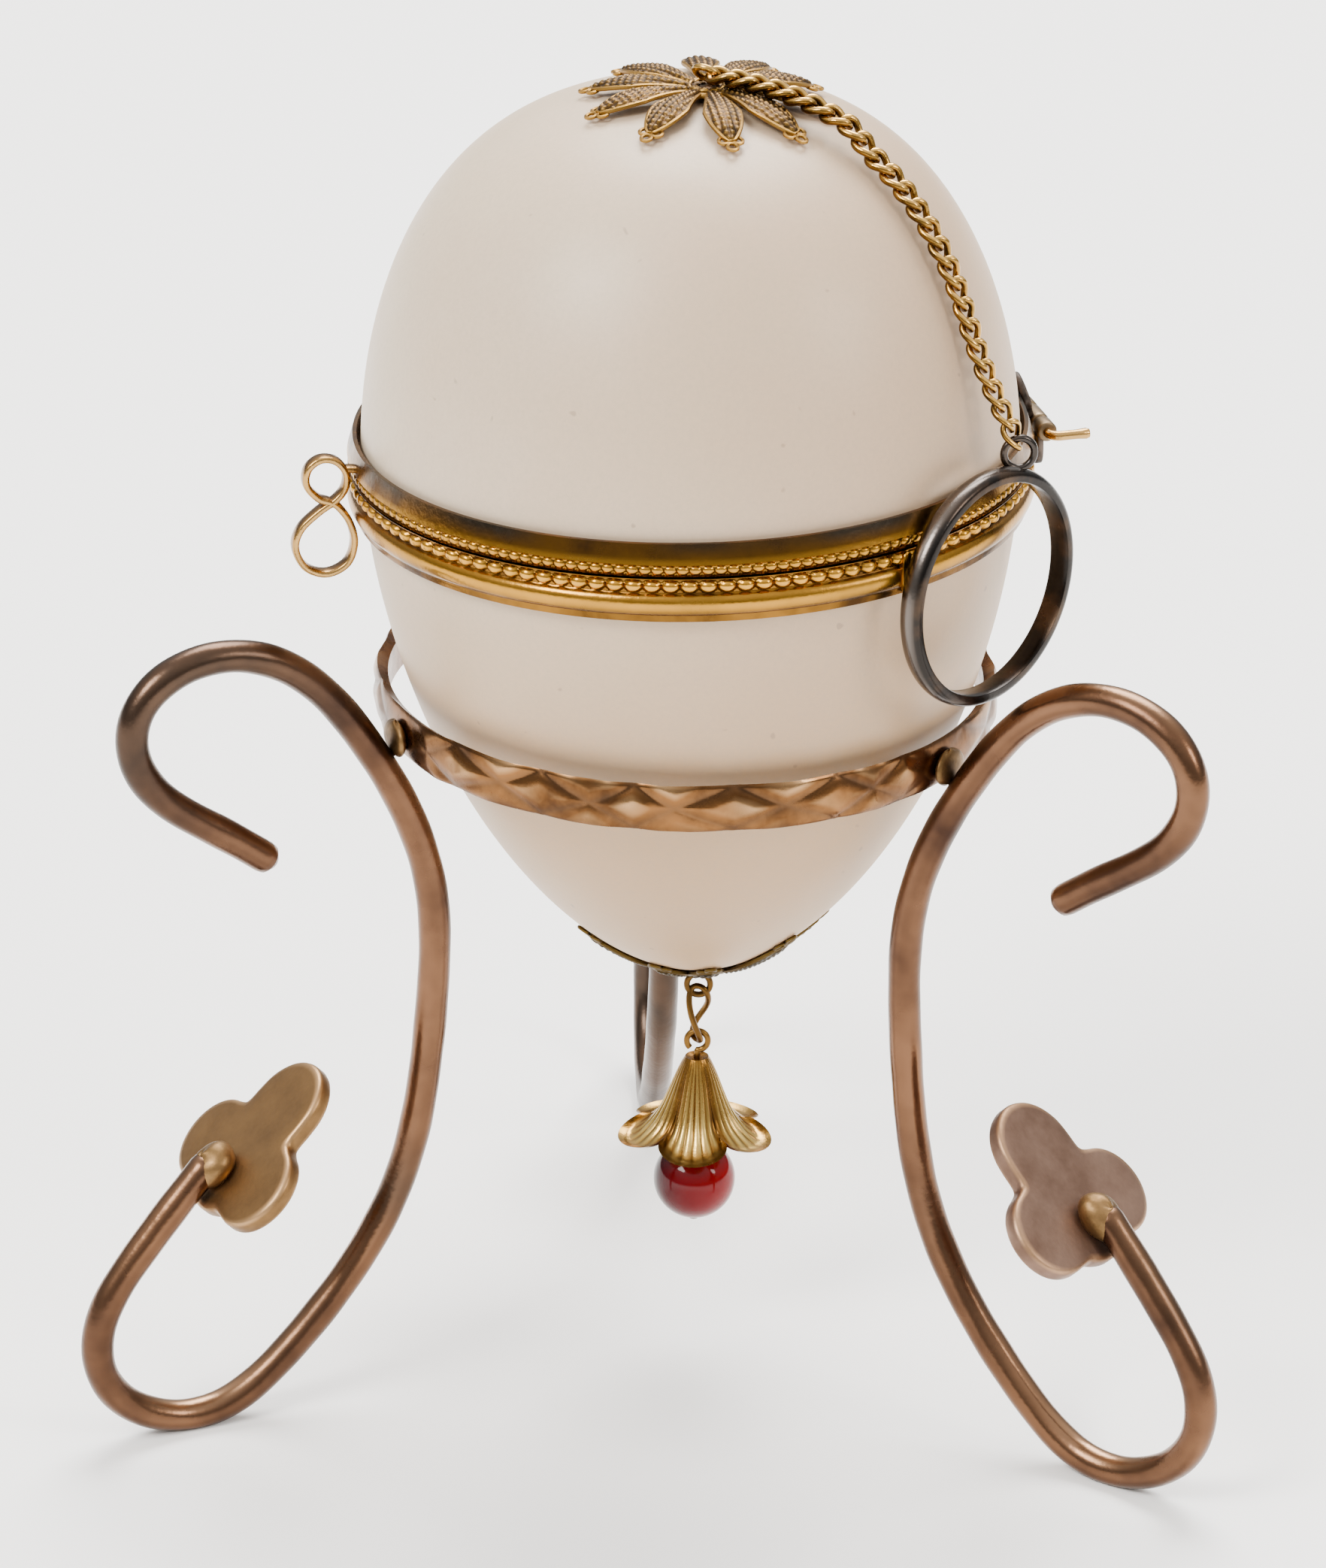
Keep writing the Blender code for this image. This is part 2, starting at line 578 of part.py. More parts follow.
def bell_flower(egg, top):
    """A bell of five flaring petals, thin and open below, with a hole at its top for the pin."""
    rows, count = 5, BELL_PETALS * 5
    share = np.linspace(0, 1, rows)[:, None]
    angles = np.linspace(0, 2 * math.pi, count, endpoint=False)[None, :]
    lobe = np.abs(np.cos(BELL_PETALS * angles / 2)) ** 0.6
    hole = WIRE_RADIUS + GAP + BELL_WALL
    flare = 0.38 * share + 0.62 * share ** 3
    radius = hole + (BELL_RADIUS - hole) * flare * (1 - 0.2 * (1 - lobe) * share ** 2)
    height = top - BELL_HEIGHT * (share ** 0.9) * (1 - 0.16 * (1 - lobe) * share ** 2) + 0 * angles
    verts = np.stack([radius * np.cos(angles), radius * np.sin(angles), height], axis=2).reshape(-1, 3)
    faces = []
    for row in range(rows - 1):
        for i in range(count):
            j = (i + 1) % count
            faces.append((row * count + i, (row + 1) * count + i, (row + 1) * count + j, row * count + j))
    mesh = bpy.data.meshes.new("bell_flower")
    mesh.from_pydata(verts.tolist(), [], faces)
    piece = place("bell_flower", mesh, GILT, egg)
    wall = piece.modifiers.new("Wall", "SOLIDIFY")
    wall.thickness = BELL_WALL
    wall.offset = -1


def drop(egg, egg_place, box):
    """What hangs plumb under the egg: an oval link, the bell flower and the bead on their pin."""
    upright = axes_matrix(Vector((0, 0, -1)), Vector((1, 0, 0)), Vector((0, -1, 0)), Vector())
    loop_drop = BOWL_DEPTH + STAR_THICKNESS + 2 * GAP + WIRE_RADIUS + LOOP_RADIUS
    hook = Matrix.Translation((0, 0, -loop_drop))
    wire("bottom_loop", loop(LOOP_RADIUS), WIRE_RADIUS, GILT, egg, closed=True, matrix=hook @ upright)
    hanger = empty("drop_hanger", box, Matrix.Translation(egg_place @ hook.translation))

    nest = 2 * WIRE_RADIUS + GAP
    link_top = nest - LOOP_RADIUS
    link_bottom = link_top - DROP_LINK_LENGTH
    quarter = Matrix.Rotation(math.radians(90), 4, "Z")
    link_place = Matrix.Translation((0, 0, (link_top + link_bottom) / 2)) @ quarter @ upright
    wire("drop_link", stadium(DROP_LINK_LENGTH, DROP_LINK_WIDTH), WIRE_RADIUS, GILT, hanger,
         closed=True, matrix=link_place)
    eye_z = link_bottom + nest - PIN_EYE_RADIUS
    bell_top = eye_z - PIN_EYE_RADIUS - WIRE_RADIUS - GAP
    bead_z = bell_top - BELL_HEIGHT - BEAD_RADIUS
    bell_flower(hanger, bell_top)

    edge = math.asin((WIRE_RADIUS + GAP) / BEAD_RADIUS)
    angles = np.linspace(edge, math.pi - edge, 8)
    turned("ruby_bead", [(BEAD_RADIUS * math.sin(a), bead_z + BEAD_RADIUS * math.cos(a)) for a in angles],
           RUBY, hanger, steps=14)

    eye = [(PIN_EYE_RADIUS * math.cos(a), 0, eye_z + PIN_EYE_RADIUS * math.sin(a))
           for a in np.radians(np.linspace(-90, 205, 12))]
    head = bead_z - BEAD_RADIUS * math.cos(edge) - GAP
    collar = bell_top - PIN_COLLAR_DROP
    stem = [(head - WIRE_RADIUS, PIN_HEAD_RATIO), (head, PIN_HEAD_RATIO), (head + GAP / 2, 1),
            (collar - WIRE_RADIUS, 1), (collar, PIN_COLLAR_RATIO), (collar + WIRE_RADIUS, 1)]
    wire("bead_pin", [(0, 0, z) for z, _ in stem] + eye, WIRE_RADIUS, GILT, hanger,
         radii=[scale for _, scale in stem] + [1.0] * len(eye))


def stand(box, face):
    """The ring that holds the egg, and the three scrolled wires with their clover leaves."""
    half, bevel = STAND_RING_DEPTH / 2, STAND_RING_WALL / 4
    inner = face - STAND_RING_WALL
    corners = []
    for r, z, dr, dz in ((face, half, -bevel, -bevel), (face, -half, -bevel, bevel),
                         (inner, -half, bevel, bevel), (inner, half, bevel, -bevel)):
        pair = [(r + dr, STAND_RING_HEIGHT + z), (r, STAND_RING_HEIGHT + z + dz)]
        corners += pair if (r == face) == (z > 0) else pair[::-1]
    turned("stand_ring", corners, COPPERY, box)

    bend = smooth_line(LEG_BEND_SHARES, LEG_STEPS) * STAND_RING_HEIGHT
    bend[:, 0] += face
    bend[:, 1] += LEG_WIRE_RADIUS - FOOT_FLAT_DEPTH - bend[:, 1].min()
    for name, azimuth in LEG_AZIMUTHS.items():
        leg(name, azimuth, bend, box)


def leg(name, azimuth, bend, box):
    """One scrolled wire with a flat worn under its lowest bend, and the leaf on its lower end."""
    turn = Matrix.Rotation(math.radians(azimuth), 4, "Z")
    scroll = solidified(wire(f"leg_{name}", [(r, 0.0, z) for r, z in bend], LEG_WIRE_RADIUS, COPPERY,
                             box, sides=8, matrix=turn))
    shape = bmesh.new()
    shape.from_mesh(scroll.data)
    geometry = shape.verts[:] + shape.edges[:] + shape.faces[:]
    cut = bmesh.ops.bisect_plane(shape, geom=geometry, plane_co=(0, 0, 0), plane_no=(0, 0, -1),
                                 clear_outer=True)
    rim = [e for e in cut["geom_cut"] if isinstance(e, bmesh.types.BMEdge)]
    bmesh.ops.contextual_create(shape, geom=rim)
    bmesh.ops.recalc_face_normals(shape, faces=shape.faces)
    shape.to_mesh(scroll.data)
    shape.free()

    end, before = Vector((bend[-1][0], 0, bend[-1][1])), Vector((bend[-3][0], 0, bend[-3][1]))
    across = Vector((0, 1, 0))
    along = Matrix.Rotation(math.radians(-LEAF_TURN), 3, across) @ (end - before).normalized()
    under = along.cross(across)
    under = under if under.z < 0 else -under
    body = 0.9 * LEAF_SIDE_LOBE_RADIUS
    discs = [
        (0, LEAF_SIDE_LOBE_OFFSET, LEAF_SIDE_LOBE_RADIUS),
        (0, -LEAF_SIDE_LOBE_OFFSET, LEAF_SIDE_LOBE_RADIUS),
        (0, 0, body),
        (LEAF_TIP_LOBE_OFFSET / 2, 0, 0.9 * LEAF_TIP_LOBE_RADIUS),
        (LEAF_TIP_LOBE_OFFSET, 0, LEAF_TIP_LOBE_RADIUS),
    ]
    centre = end + along * (body - LEAF_OVERLAP) + under * (LEG_WIRE_RADIUS + GAP + LEAF_THICKNESS / 2)
    at = turn @ axes_matrix(along, across, along.cross(across), centre)
    leaf = solidified(plate(f"leaf_{name}", [outline_of_discs(discs, 28)], LEAF_THICKNESS, COPPERY, box,
                            matrix=at))
    rounding = leaf.modifiers.new("Round", "BEVEL")
    rounding.width = LEAF_THICKNESS / 3
    rounding.segments = 1
    rounding.limit_method = "ANGLE"
    rounding.angle_limit = math.radians(50)


def centre_on_origin(box):
    """Move the whole object so that its box is centred over the origin."""
    bpy.context.view_layer.update()
    graph = bpy.context.evaluated_depsgraph_get()
    low, high = Vector((math.inf,) * 3), Vector((-math.inf,) * 3)
    for piece in PARTS.objects:
        if piece.type == "EMPTY":
            continue
        evaluated = piece.evaluated_get(graph)
        mesh = evaluated.to_mesh()
        for vert in mesh.vertices:
            point = evaluated.matrix_world @ vert.co
            low = Vector(map(min, low, point))
            high = Vector(map(max, high, point))
        evaluated.to_mesh_clear()
    box.location = (-(low.x + high.x) / 2, -(low.y + high.y) / 2, 0)


for old in list(bpy.data.objects):
    bpy.data.objects.remove(old)
PARTS = collection("egg_sewing_box")
TOOLS = collection("tools")
OPAL = material("opal_glass", (0.63, 0.55, 0.46), 0.0, 0.45)
GILT = material("gilt_brass", (0.62, 0.40, 0.13), 1.0, 0.3)
COPPERY = material("patinated_brass", (0.28, 0.12, 0.06), 1.0, 0.38)
STEEL = material("dark_steel", (0.09, 0.075, 0.065), 1.0, 0.35)
RUBY = material("ruby_glass", (0.35, 0.01, 0.02), 0.0, 0.1)

sewing_box = empty("sewing_box")
seat_place = Matrix.Translation((EGG_SHIFT, 0, STAND_RING_HEIGHT))
seat_place @= Matrix.Rotation(math.radians(-EGG_LEAN), 4, "Y")
seat_place @= Matrix.Translation((0, 0, SEAM_OVER_RING))
egg = empty("egg_seam", sewing_box, seat_place)
hinge_line = Matrix.Translation(polar(HINGE_REACH, HINGE_AZIMUTH))
hinge_line @= Matrix.Rotation(math.radians(HINGE_AZIMUTH), 4, "Z")
lid_pivot = empty("lid_pivot", egg, hinge_line)
bowl_frame = {"parent": egg}
lid_frame = {"parent": lid_pivot, "rest": hinge_line}

glass_shell("glass_bowl", False, **bowl_frame)
glass_shell("glass_lid", True, **lid_frame)
rims(bowl_frame, lid_frame)
hinge(bowl_frame, lid_frame, hinge_line)
thumbpiece(lid_frame)
star("top_star", True, TOP_STAR_RADIUS, polar(TOP_STAR_SHIFT, CHAIN_AZIMUTH), **lid_frame)
star("bottom_star", False, BOTTOM_STAR_RADIUS, Vector(), **bowl_frame)

tangent = polar(1, HINGE_AZIMUTH + 90)
last_wire = chain(lid_frame, tangent)
finger_ring(seat_place @ last_wire, (seat_place.to_3x3() @ tangent).normalized(), sewing_box)
drop(egg, seat_place, sewing_box)

seat_level = STAND_RING_DEPTH / 2 - SEAM_OVER_RING
stand(sewing_box, egg_radius(seat_level) + EGG_SHIFT + GAP + STAND_RING_WALL)
centre_on_origin(sewing_box)
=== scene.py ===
"""Egg-shaped sewing box: an egg of opaline glass in gilt brass mounts, on a stand of scrolled wire.

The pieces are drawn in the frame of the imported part: +X right, +Y back, +Z up, in metres. Sizes in the
sections below are in millimetres and are turned to metres where a mesh is made.
"""
import json
import math

import bmesh
import bpy
import numpy as np
from mathutils import Matrix, Vector


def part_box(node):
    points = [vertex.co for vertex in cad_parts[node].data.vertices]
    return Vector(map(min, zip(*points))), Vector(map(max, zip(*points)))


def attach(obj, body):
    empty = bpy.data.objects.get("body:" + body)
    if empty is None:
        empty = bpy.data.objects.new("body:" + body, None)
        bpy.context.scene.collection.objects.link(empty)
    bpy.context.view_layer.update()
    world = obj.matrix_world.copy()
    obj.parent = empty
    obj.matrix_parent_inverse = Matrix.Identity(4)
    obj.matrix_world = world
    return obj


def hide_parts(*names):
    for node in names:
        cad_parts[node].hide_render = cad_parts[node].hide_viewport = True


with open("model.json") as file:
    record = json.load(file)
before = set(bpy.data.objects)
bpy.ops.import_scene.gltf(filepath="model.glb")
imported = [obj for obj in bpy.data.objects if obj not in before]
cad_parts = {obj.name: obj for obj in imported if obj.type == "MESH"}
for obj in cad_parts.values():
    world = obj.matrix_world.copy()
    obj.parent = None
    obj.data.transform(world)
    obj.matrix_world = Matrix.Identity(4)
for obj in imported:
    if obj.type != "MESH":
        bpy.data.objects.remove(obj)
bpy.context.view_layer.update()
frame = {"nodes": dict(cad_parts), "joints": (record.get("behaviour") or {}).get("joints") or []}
MM = 0.001

# Camera and light
# A long lens 600 mm from the egg, 23.5 degrees above the horizontal, turned by about a degree. Three
# large soft lights, a bright dome and a pale floor stand for the plain studio.
stand_low, stand_high = (np.array(corner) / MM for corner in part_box("stand_ring"))
STAND = (stand_low + stand_high) / 2
CAMERA_DISTANCE = 600
CAMERA_FOCAL_SHARE = 8580 / 1764
SENSOR_WIDTH = 36
CAMERA_RISE = math.radians(23.5)
CAMERA_ROLL = math.radians(1.1)
AIM_LEFT_OF_STAND = 1.9
AIM_HEIGHT = 57
CAMERA_AIM = Vector((STAND[0] - AIM_LEFT_OF_STAND, STAND[1], AIM_HEIGHT)) * MM
LIGHT_AIM = Vector((0, 0, 0.06))

camera_data = bpy.data.cameras.new("camera")
camera_data.sensor_fit = "HORIZONTAL"
camera_data.sensor_width = SENSOR_WIDTH
camera_data.lens = CAMERA_FOCAL_SHARE * SENSOR_WIDTH
camera_data.clip_start = 0.01
camera = bpy.data.objects.new("camera", camera_data)
bpy.context.scene.collection.objects.link(camera)
back = Vector((0, -math.cos(CAMERA_RISE), math.sin(CAMERA_RISE)))
right = Vector((math.cos(CAMERA_ROLL), 0, 0)) + math.sin(CAMERA_ROLL) * back.cross(Vector((1, 0, 0)))
turned_camera = Matrix((right, back.cross(right), back)).transposed().to_4x4()
turned_camera.translation = CAMERA_AIM + back * CAMERA_DISTANCE * MM
camera.matrix_world = turned_camera
bpy.context.scene.camera = camera


def lamp(name, place, size, power, tint):
    """A square soft light in metres and watts, aimed at the middle of the egg."""
    data = bpy.data.lights.new(name, "AREA")
    data.size = size
    data.energy = power
    data.color = tint
    light = bpy.data.objects.new(name, data)
    bpy.context.scene.collection.objects.link(light)
    light.location = place
    aim = LIGHT_AIM - Vector(place)
    light.rotation_euler = aim.to_track_quat("-Z", "Y").to_euler()


lamp("key_from_left", (-0.85, -0.75, 1.15), 0.6, 30, (1.0, 0.98, 0.95))
lamp("fill_from_right", (1.1, -0.6, 0.75), 0.4, 8, (1.0, 0.95, 0.9))
lamp("top_light", (0.1, 0.75, 1.3), 0.9, 48, (1.0, 0.99, 0.98))


def linear(hex_colour):
    """The linear colour of an sRGB hex value."""
    share = [int(hex_colour[k:k + 2], 16) / 255 for k in (1, 3, 5)]
    return [c / 12.92 if c <= 0.04045 else ((c + 0.055) / 1.055) ** 2.4 for c in share] + [1.0]


def add(tree, kind, inputs=None, **settings):
    """Add one node with its settings. An input is a value, or an output socket to link."""
    made = tree.nodes.new(kind)
    for name, value in settings.items():
        setattr(made, name, value)
    for name, value in (inputs or {}).items():
        if isinstance(value, bpy.types.NodeSocket):
            tree.links.new(value, made.inputs[name])
        else:
            made.inputs[name].default_value = value
    return made


def ranged(tree, value, start, end, low=0.0, high=1.0):
    """The output of a value carried evenly from one range to another and held at its ends."""
    return add(tree, "ShaderNodeMapRange", {"Value": value, "From Min": start, "From Max": end,
                                            "To Min": low, "To Max": high}).outputs[0]


def mixed(tree, share, first, second):
    """The output of a mix of two colours. Each is a hex value or another output."""
    first, second = (linear(c) if isinstance(c, str) else c for c in (first, second))
    return add(tree, "ShaderNodeMix", {0: share, 6: first, 7: second}, data_type="RGBA").outputs[2]


def noise(tree, where, width, detail, roughness=0.5):
    """The output of a cloudy pattern with patches of a width in millimetres."""
    return add(tree, "ShaderNodeTexNoise", {"Vector": where, "Scale": 1 / (width * MM), "Detail": detail,
                                            "Roughness": roughness}).outputs["Fac"]


def finish_of(name):
    """A new material, its node tree and its emptied Principled shader."""
    finish = bpy.data.materials.new(name)
    finish.use_nodes = True
    return finish, finish.node_tree, finish.node_tree.nodes["Principled BSDF"]


# The room is bright overhead and dimmer near the horizon, as under a ceiling of soft boxes.
world = bpy.data.worlds.new("studio")
bpy.context.scene.world = world
world.use_nodes = True
tree = world.node_tree
direction = add(tree, "ShaderNodeTexCoord").outputs["Generated"]
rise = add(tree, "ShaderNodeSeparateXYZ", {"Vector": direction}).outputs["Z"]
dome = ranged(tree, rise, 0.05, 0.75, 0.25, 1.75)
tree.links.new(dome, tree.nodes["Background"].inputs["Strength"])
tree.nodes["Background"].inputs["Color"].default_value = (0.93, 0.925, 0.92, 1)

# Floor
# A pale matt board under the stand, wide enough to fill the view.
floor_finish, tree, shader = finish_of("matt_painted_board")
where = add(tree, "ShaderNodeTexCoord").outputs["Object"]
tone = mixed(tree, noise(tree, where, 250, 2.0), "#FAF9F7", "#F6F5F3")
tree.links.new(tone, shader.inputs["Base Color"])
shader.inputs["Roughness"].default_value = 0.75
floor_mesh = bpy.data.meshes.new("floor")
floor_mesh.from_pydata([(-3, -2, 0), (3, -2, 0), (3, 4, 0), (-3, 4, 0)], [], [(0, 1, 2, 3)])
floor_mesh.materials.append(floor_finish)
floor = bpy.data.objects.new("floor", floor_mesh)
bpy.context.scene.collection.objects.link(floor)


# Glass egg
# Two blown halves of opaline glass, satin outside, 2.4 mm thick. Each is open at the seam, where its
# lip stands in the gilt rim. The egg leans a little to the left in its stand.
GLASS_RADIUS = 30.0
GLASS_WALL = 2.4
GLASS_LIP = 1.05
LID_CURVE = (34.0, 2.0, 0.36)
BOWL_CURVE = (51.0, 1.75, 0.57)
EGG_LEAN = math.radians(1.9)
EGG_UP = np.array((-math.sin(EGG_LEAN), 0, math.cos(EGG_LEAN)))
EGG_RIGHT = np.array((math.cos(EGG_LEAN), 0, math.sin(EGG_LEAN)))
EGG_BACK = np.array((0.0, 1.0, 0.0))
EGG_SHIFT = 0.8
SEAM_OVER_STAND = 23.0
EGG_SEAM = STAND + (EGG_SHIFT, 0, 0) + SEAM_OVER_STAND * EGG_UP


def on_egg(points):
    """Points drawn about the middle of the seam, moved to the leaning egg. A fourth value is kept."""
    placed = points.copy()
    x, y, z = points[..., 0:1], points[..., 1:2], points[..., 2:3]
    placed[..., :3] = EGG_SEAM + x * EGG_RIGHT + y * EGG_BACK + z * EGG_UP
    return placed


def egg_height(radius, curve, inset=0.0):
    """Height of the egg's wall over the seam where the wall has a radius.

    The height times one less the share of the radius to the power 1 / root, to the power 1 / power.
    """
    height, power, root = curve
    share = np.clip(radius / (GLASS_RADIUS - inset), 0, 1)
    return (height - inset) * (1 - share ** (1 / root)) ** (1 / power)


def egg_radius(height_now, curve, inset=0.0):
    """Radius of the egg's wall at a height over the seam: the other way round."""
    height, power, root = curve
    return (GLASS_RADIUS - inset) * (1 - (abs(height_now) / (height - inset)) ** power) ** root


def turned(profile, steps):
    """A grid of points: a line of radius and height pairs, each carried round the upright axis."""
    angle = np.linspace(0, 2 * math.pi, steps, endpoint=False)
    radius, height = profile[:, :1], profile[:, 1:2]
    return np.stack([radius * np.cos(angle), radius * np.sin(angle), height + 0 * angle], axis=2)


def wrap(points, closed=False):
    """Vertices and faces of a grid of points: each row is a closed loop, and each row joins the next.

    The last row joins the first where closed is true. Otherwise a middle point closes each end.
    """
    rows, count, values = points.shape
    index = np.arange(rows * count).reshape(rows, count)
    ahead = np.roll(index, -1, axis=1)
    low, low_ahead = (index, ahead) if closed else (index[:-1], ahead[:-1])
    high, high_ahead = np.roll(index, -1, axis=0), np.roll(ahead, -1, axis=0)
    high, high_ahead = high[:len(low)], high_ahead[:len(low)]
    faces = np.stack([low, low_ahead, high_ahead, high], axis=-1).reshape(-1, 4).tolist()
    verts = points.reshape(-1, values)
    if not closed:
        end = np.full(count, len(verts))
        faces += np.stack([ahead[0], index[0], end], axis=-1).tolist()
        faces += np.stack([index[-1], ahead[-1], end + 1], axis=-1).tolist()
        verts = np.vstack([verts, points[0].mean(axis=0), points[-1].mean(axis=0)])
    return verts, faces


SHARP_EDGE = math.radians(50)


def piece(name, parts, finish, body, replaced=()):
    """One mesh object from several wrapped surfaces, with its finish, on its body.

    A fourth value of a vertex is how much the place is rubbed bright, or painted lighter or darker as
    highlight and shade, kept as a vertex attribute that the finishes read.
    """
    verts, wear_and_painted_light, faces, start = [], [], [], 0
    for points, corners in parts:
        verts.append(points[:, :3])
        wear_and_painted_light.append(points[:, 3] if points.shape[1] > 3 else np.zeros(len(points)))
        faces += [[corner + start for corner in face] for face in corners]
        start += len(points)
    mesh = bpy.data.meshes.new(name)
    mesh.from_pydata((np.vstack(verts) * MM).tolist(), [], faces)
    shape = bmesh.new()
    shape.from_mesh(mesh)
    bmesh.ops.recalc_face_normals(shape, faces=shape.faces)
    shape.to_mesh(mesh)
    shape.free()
    mesh.attributes.new("wear_and_painted_light", "FLOAT", "POINT")
    mesh.attributes["wear_and_painted_light"].data.foreach_set("value", np.concatenate(wear_and_painted_light))
    mesh.polygons.foreach_set("use_smooth", np.ones(len(mesh.polygons), bool))
    mesh.set_sharp_from_angle(angle=SHARP_EDGE)
    mesh.materials.append(finish)
    made = bpy.data.objects.new(name, mesh)
    bpy.context.scene.collection.objects.link(made)
    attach(made, body)
    if replaced:
        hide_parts(*replaced)
    return made


def glass_half(side, curve):
    """Closed profile of one half, from the outer pole by the lip to the inner pole."""
    angle = np.radians(np.linspace(0.6, 90, 90))
    walls = []
    for inset in (0.0, GLASS_WALL):
        mouth = egg_radius(GLASS_LIP, curve, inset)
        radius = mouth * np.sin(angle)
        height = np.maximum(egg_height(radius, curve, inset), GLASS_LIP)
        walls.append(np.stack([radius, side * height], axis=1))
    rounding = walls[0][-1] * 0.5 + walls[1][-1] * 0.5 - (0, side * 0.3)
    return np.vstack([walls[0], rounding[None], walls[1][::-1]])


# Opaline glass: milky glass with a satin skin. Light goes a little way in, so its shade is soft. The
# colour drifts in patches 14 mm wide, is darker and warmer below the seam, and has a few specks. It is
# also painted darker and warmer towards the right, as painted shade away from the key light.
OPALINE, tree, shader = finish_of("opaline_glass_satin")
where = add(tree, "ShaderNodeTexCoord").outputs["Object"]
place = add(tree, "ShaderNodeSeparateXYZ", {"Vector": where}).outputs
patches = noise(tree, where, 14, 3.0, 0.55)
cool = mixed(tree, patches, "#CCBDA7", "#C1AB91")
# Painted shade: darker and warmer towards the right, away from the key light.
tone = mixed(tree, ranged(tree, place["X"], -0.028, 0.034, 0, 0.9), cool, "#BB9A78")
warm = mixed(tree, ranged(tree, place["Z"], 0.092, 0.066, 0, 0.8), tone, "#B59168")
speck_share = ranged(tree, noise(tree, where, 1.6, 1.0), 0.76, 0.8, 0, 0.45)
specked = mixed(tree, speck_share, warm, "#7A6654")
grain = noise(tree, where, 0.5, 3.0, 0.7)
grained = mixed(tree, ranged(tree, grain, 0.35, 0.75, 0, 0.22), specked, "#9C8C7A")
tree.links.new(grained, shader.inputs["Base Color"])
tree.links.new(ranged(tree, patches, 0, 1, 0.36, 0.52), shader.inputs["Roughness"])
skin = add(tree, "ShaderNodeBump", {"Height": grain, "Strength": 0.3, "Distance": 0.05 * MM})
tree.links.new(skin.outputs["Normal"], shader.inputs["Normal"])
shader.inputs["Subsurface Weight"].default_value = 0.25
shader.inputs["Subsurface Radius"].default_value = (1.0, 0.85, 0.7)
shader.inputs["Subsurface Scale"].default_value = 1.2 * MM
shader.inputs["IOR"].default_value = 1.5

piece("opaline_lid", [wrap(on_egg(turned(glass_half(1, LID_CURVE), 144)))], OPALINE, "lid",
      ["glass_lid"])
piece("opaline_bowl", [wrap(on_egg(turned(glass_half(-1, BOWL_CURVE), 144)))], OPALINE, "root",
      ["glass_bowl"])


TARNISH_AND_SHADE = "#34332F"


def old_brass(name, hollow, face, wear_and_painted_light, stain, gloss, grain):
    """Gilt or patinated brass: dark in the hollows, with stains, rubbed bright where it stands out, and on
    some pieces painted lighter or darker as highlight and shade.

    hollow and face are colours, and so is the next, for places rubbed bright or given a painted highlight.
    stain is the width of the stains, gloss the least and greatest roughness, and grain the width of the fine
    pits, in millimetres. Where the attribute is below nought the metal turns blue-black instead: tarnish,
    and on some pieces painted shade.
    """
    finish, tree, shader = finish_of(name)
    where = add(tree, "ShaderNodeTexCoord").outputs["Object"]
    stains = noise(tree, where, stain, 4.0, 0.6)
    base = mixed(tree, ranged(tree, stains, 0.35, 0.65), hollow, face)
    wear_and_light_fac = add(tree, "ShaderNodeAttribute", attribute_name="wear_and_painted_light", attribute_type="GEOMETRY").outputs["Fac"]
    bright = mixed(tree, wear_and_light_fac, base, wear_and_painted_light)
    # Below nought the colour turns blue-black: tarnish, and on some pieces painted shade.
    dark = mixed(tree, ranged(tree, wear_and_light_fac, 0, -1), bright, TARNISH_AND_SHADE)
    tree.links.new(dark, shader.inputs["Base Color"])
    dull = ranged(tree, stains, 0.3, 0.7, gloss[1], gloss[0])
    tree.links.new(dull, shader.inputs["Roughness"])
    pits = noise(tree, where, grain, 3.0)
    bump = add(tree, "ShaderNodeBump", {"Height": pits, "Strength": 0.25, "Distance": 0.08 * MM})
    tree.links.new(bump.outputs["Normal"], shader.inputs["Normal"])
    shader.inputs["Metallic"].default_value = 1.0
    return finish


# Gilt rims
# Turned brass bands, fire-gilt, glued over the mouth of each half. The lid's band slopes in and has a
# row of fine beads at its lower edge. The bowl's has a row of pearl beads, a polished half-round
# moulding and a thin lip.
RIM_OUTER = 31.25
RIM_INNER = 30.3
RIM_BORE = 27.3
BEADS_ROUND_BOWL = 118
BEADS_ROUND_LID = 176
STEPS_A_BEAD = 9
GILT_RIM = old_brass("gilt_brass_turned", "#3A2612", "#805820", "#DDA238", 7.0, (0.18, 0.34), 0.5)


def beaded(profile, beads, middle, half_height, rise):
    """A turned band with a row of beads: each swells the wall by an ellipsoid's height over it."""
    steps = beads * STEPS_A_BEAD
    along = np.abs((np.arange(steps) / STEPS_A_BEAD) % 1 - 0.5) / 0.5
    up = (profile[:, 1:2] - middle) / half_height
    outside = profile[:, :1] > RIM_INNER + 0.05
    swell = np.sqrt(np.clip(1 - (along / 0.92) ** 2 - up ** 2, 0, None)) * outside
    points = turned(profile, steps)
    angle = np.linspace(0, 2 * math.pi, steps, endpoint=False)
    points[..., 0] += rise * swell * np.cos(angle)
    points[..., 1] += rise * swell * np.sin(angle)
    return points, swell


def line(start, end, count):
    """Evenly spaced points from one to another, without the last."""
    return np.linspace(start, end, count, endpoint=False)


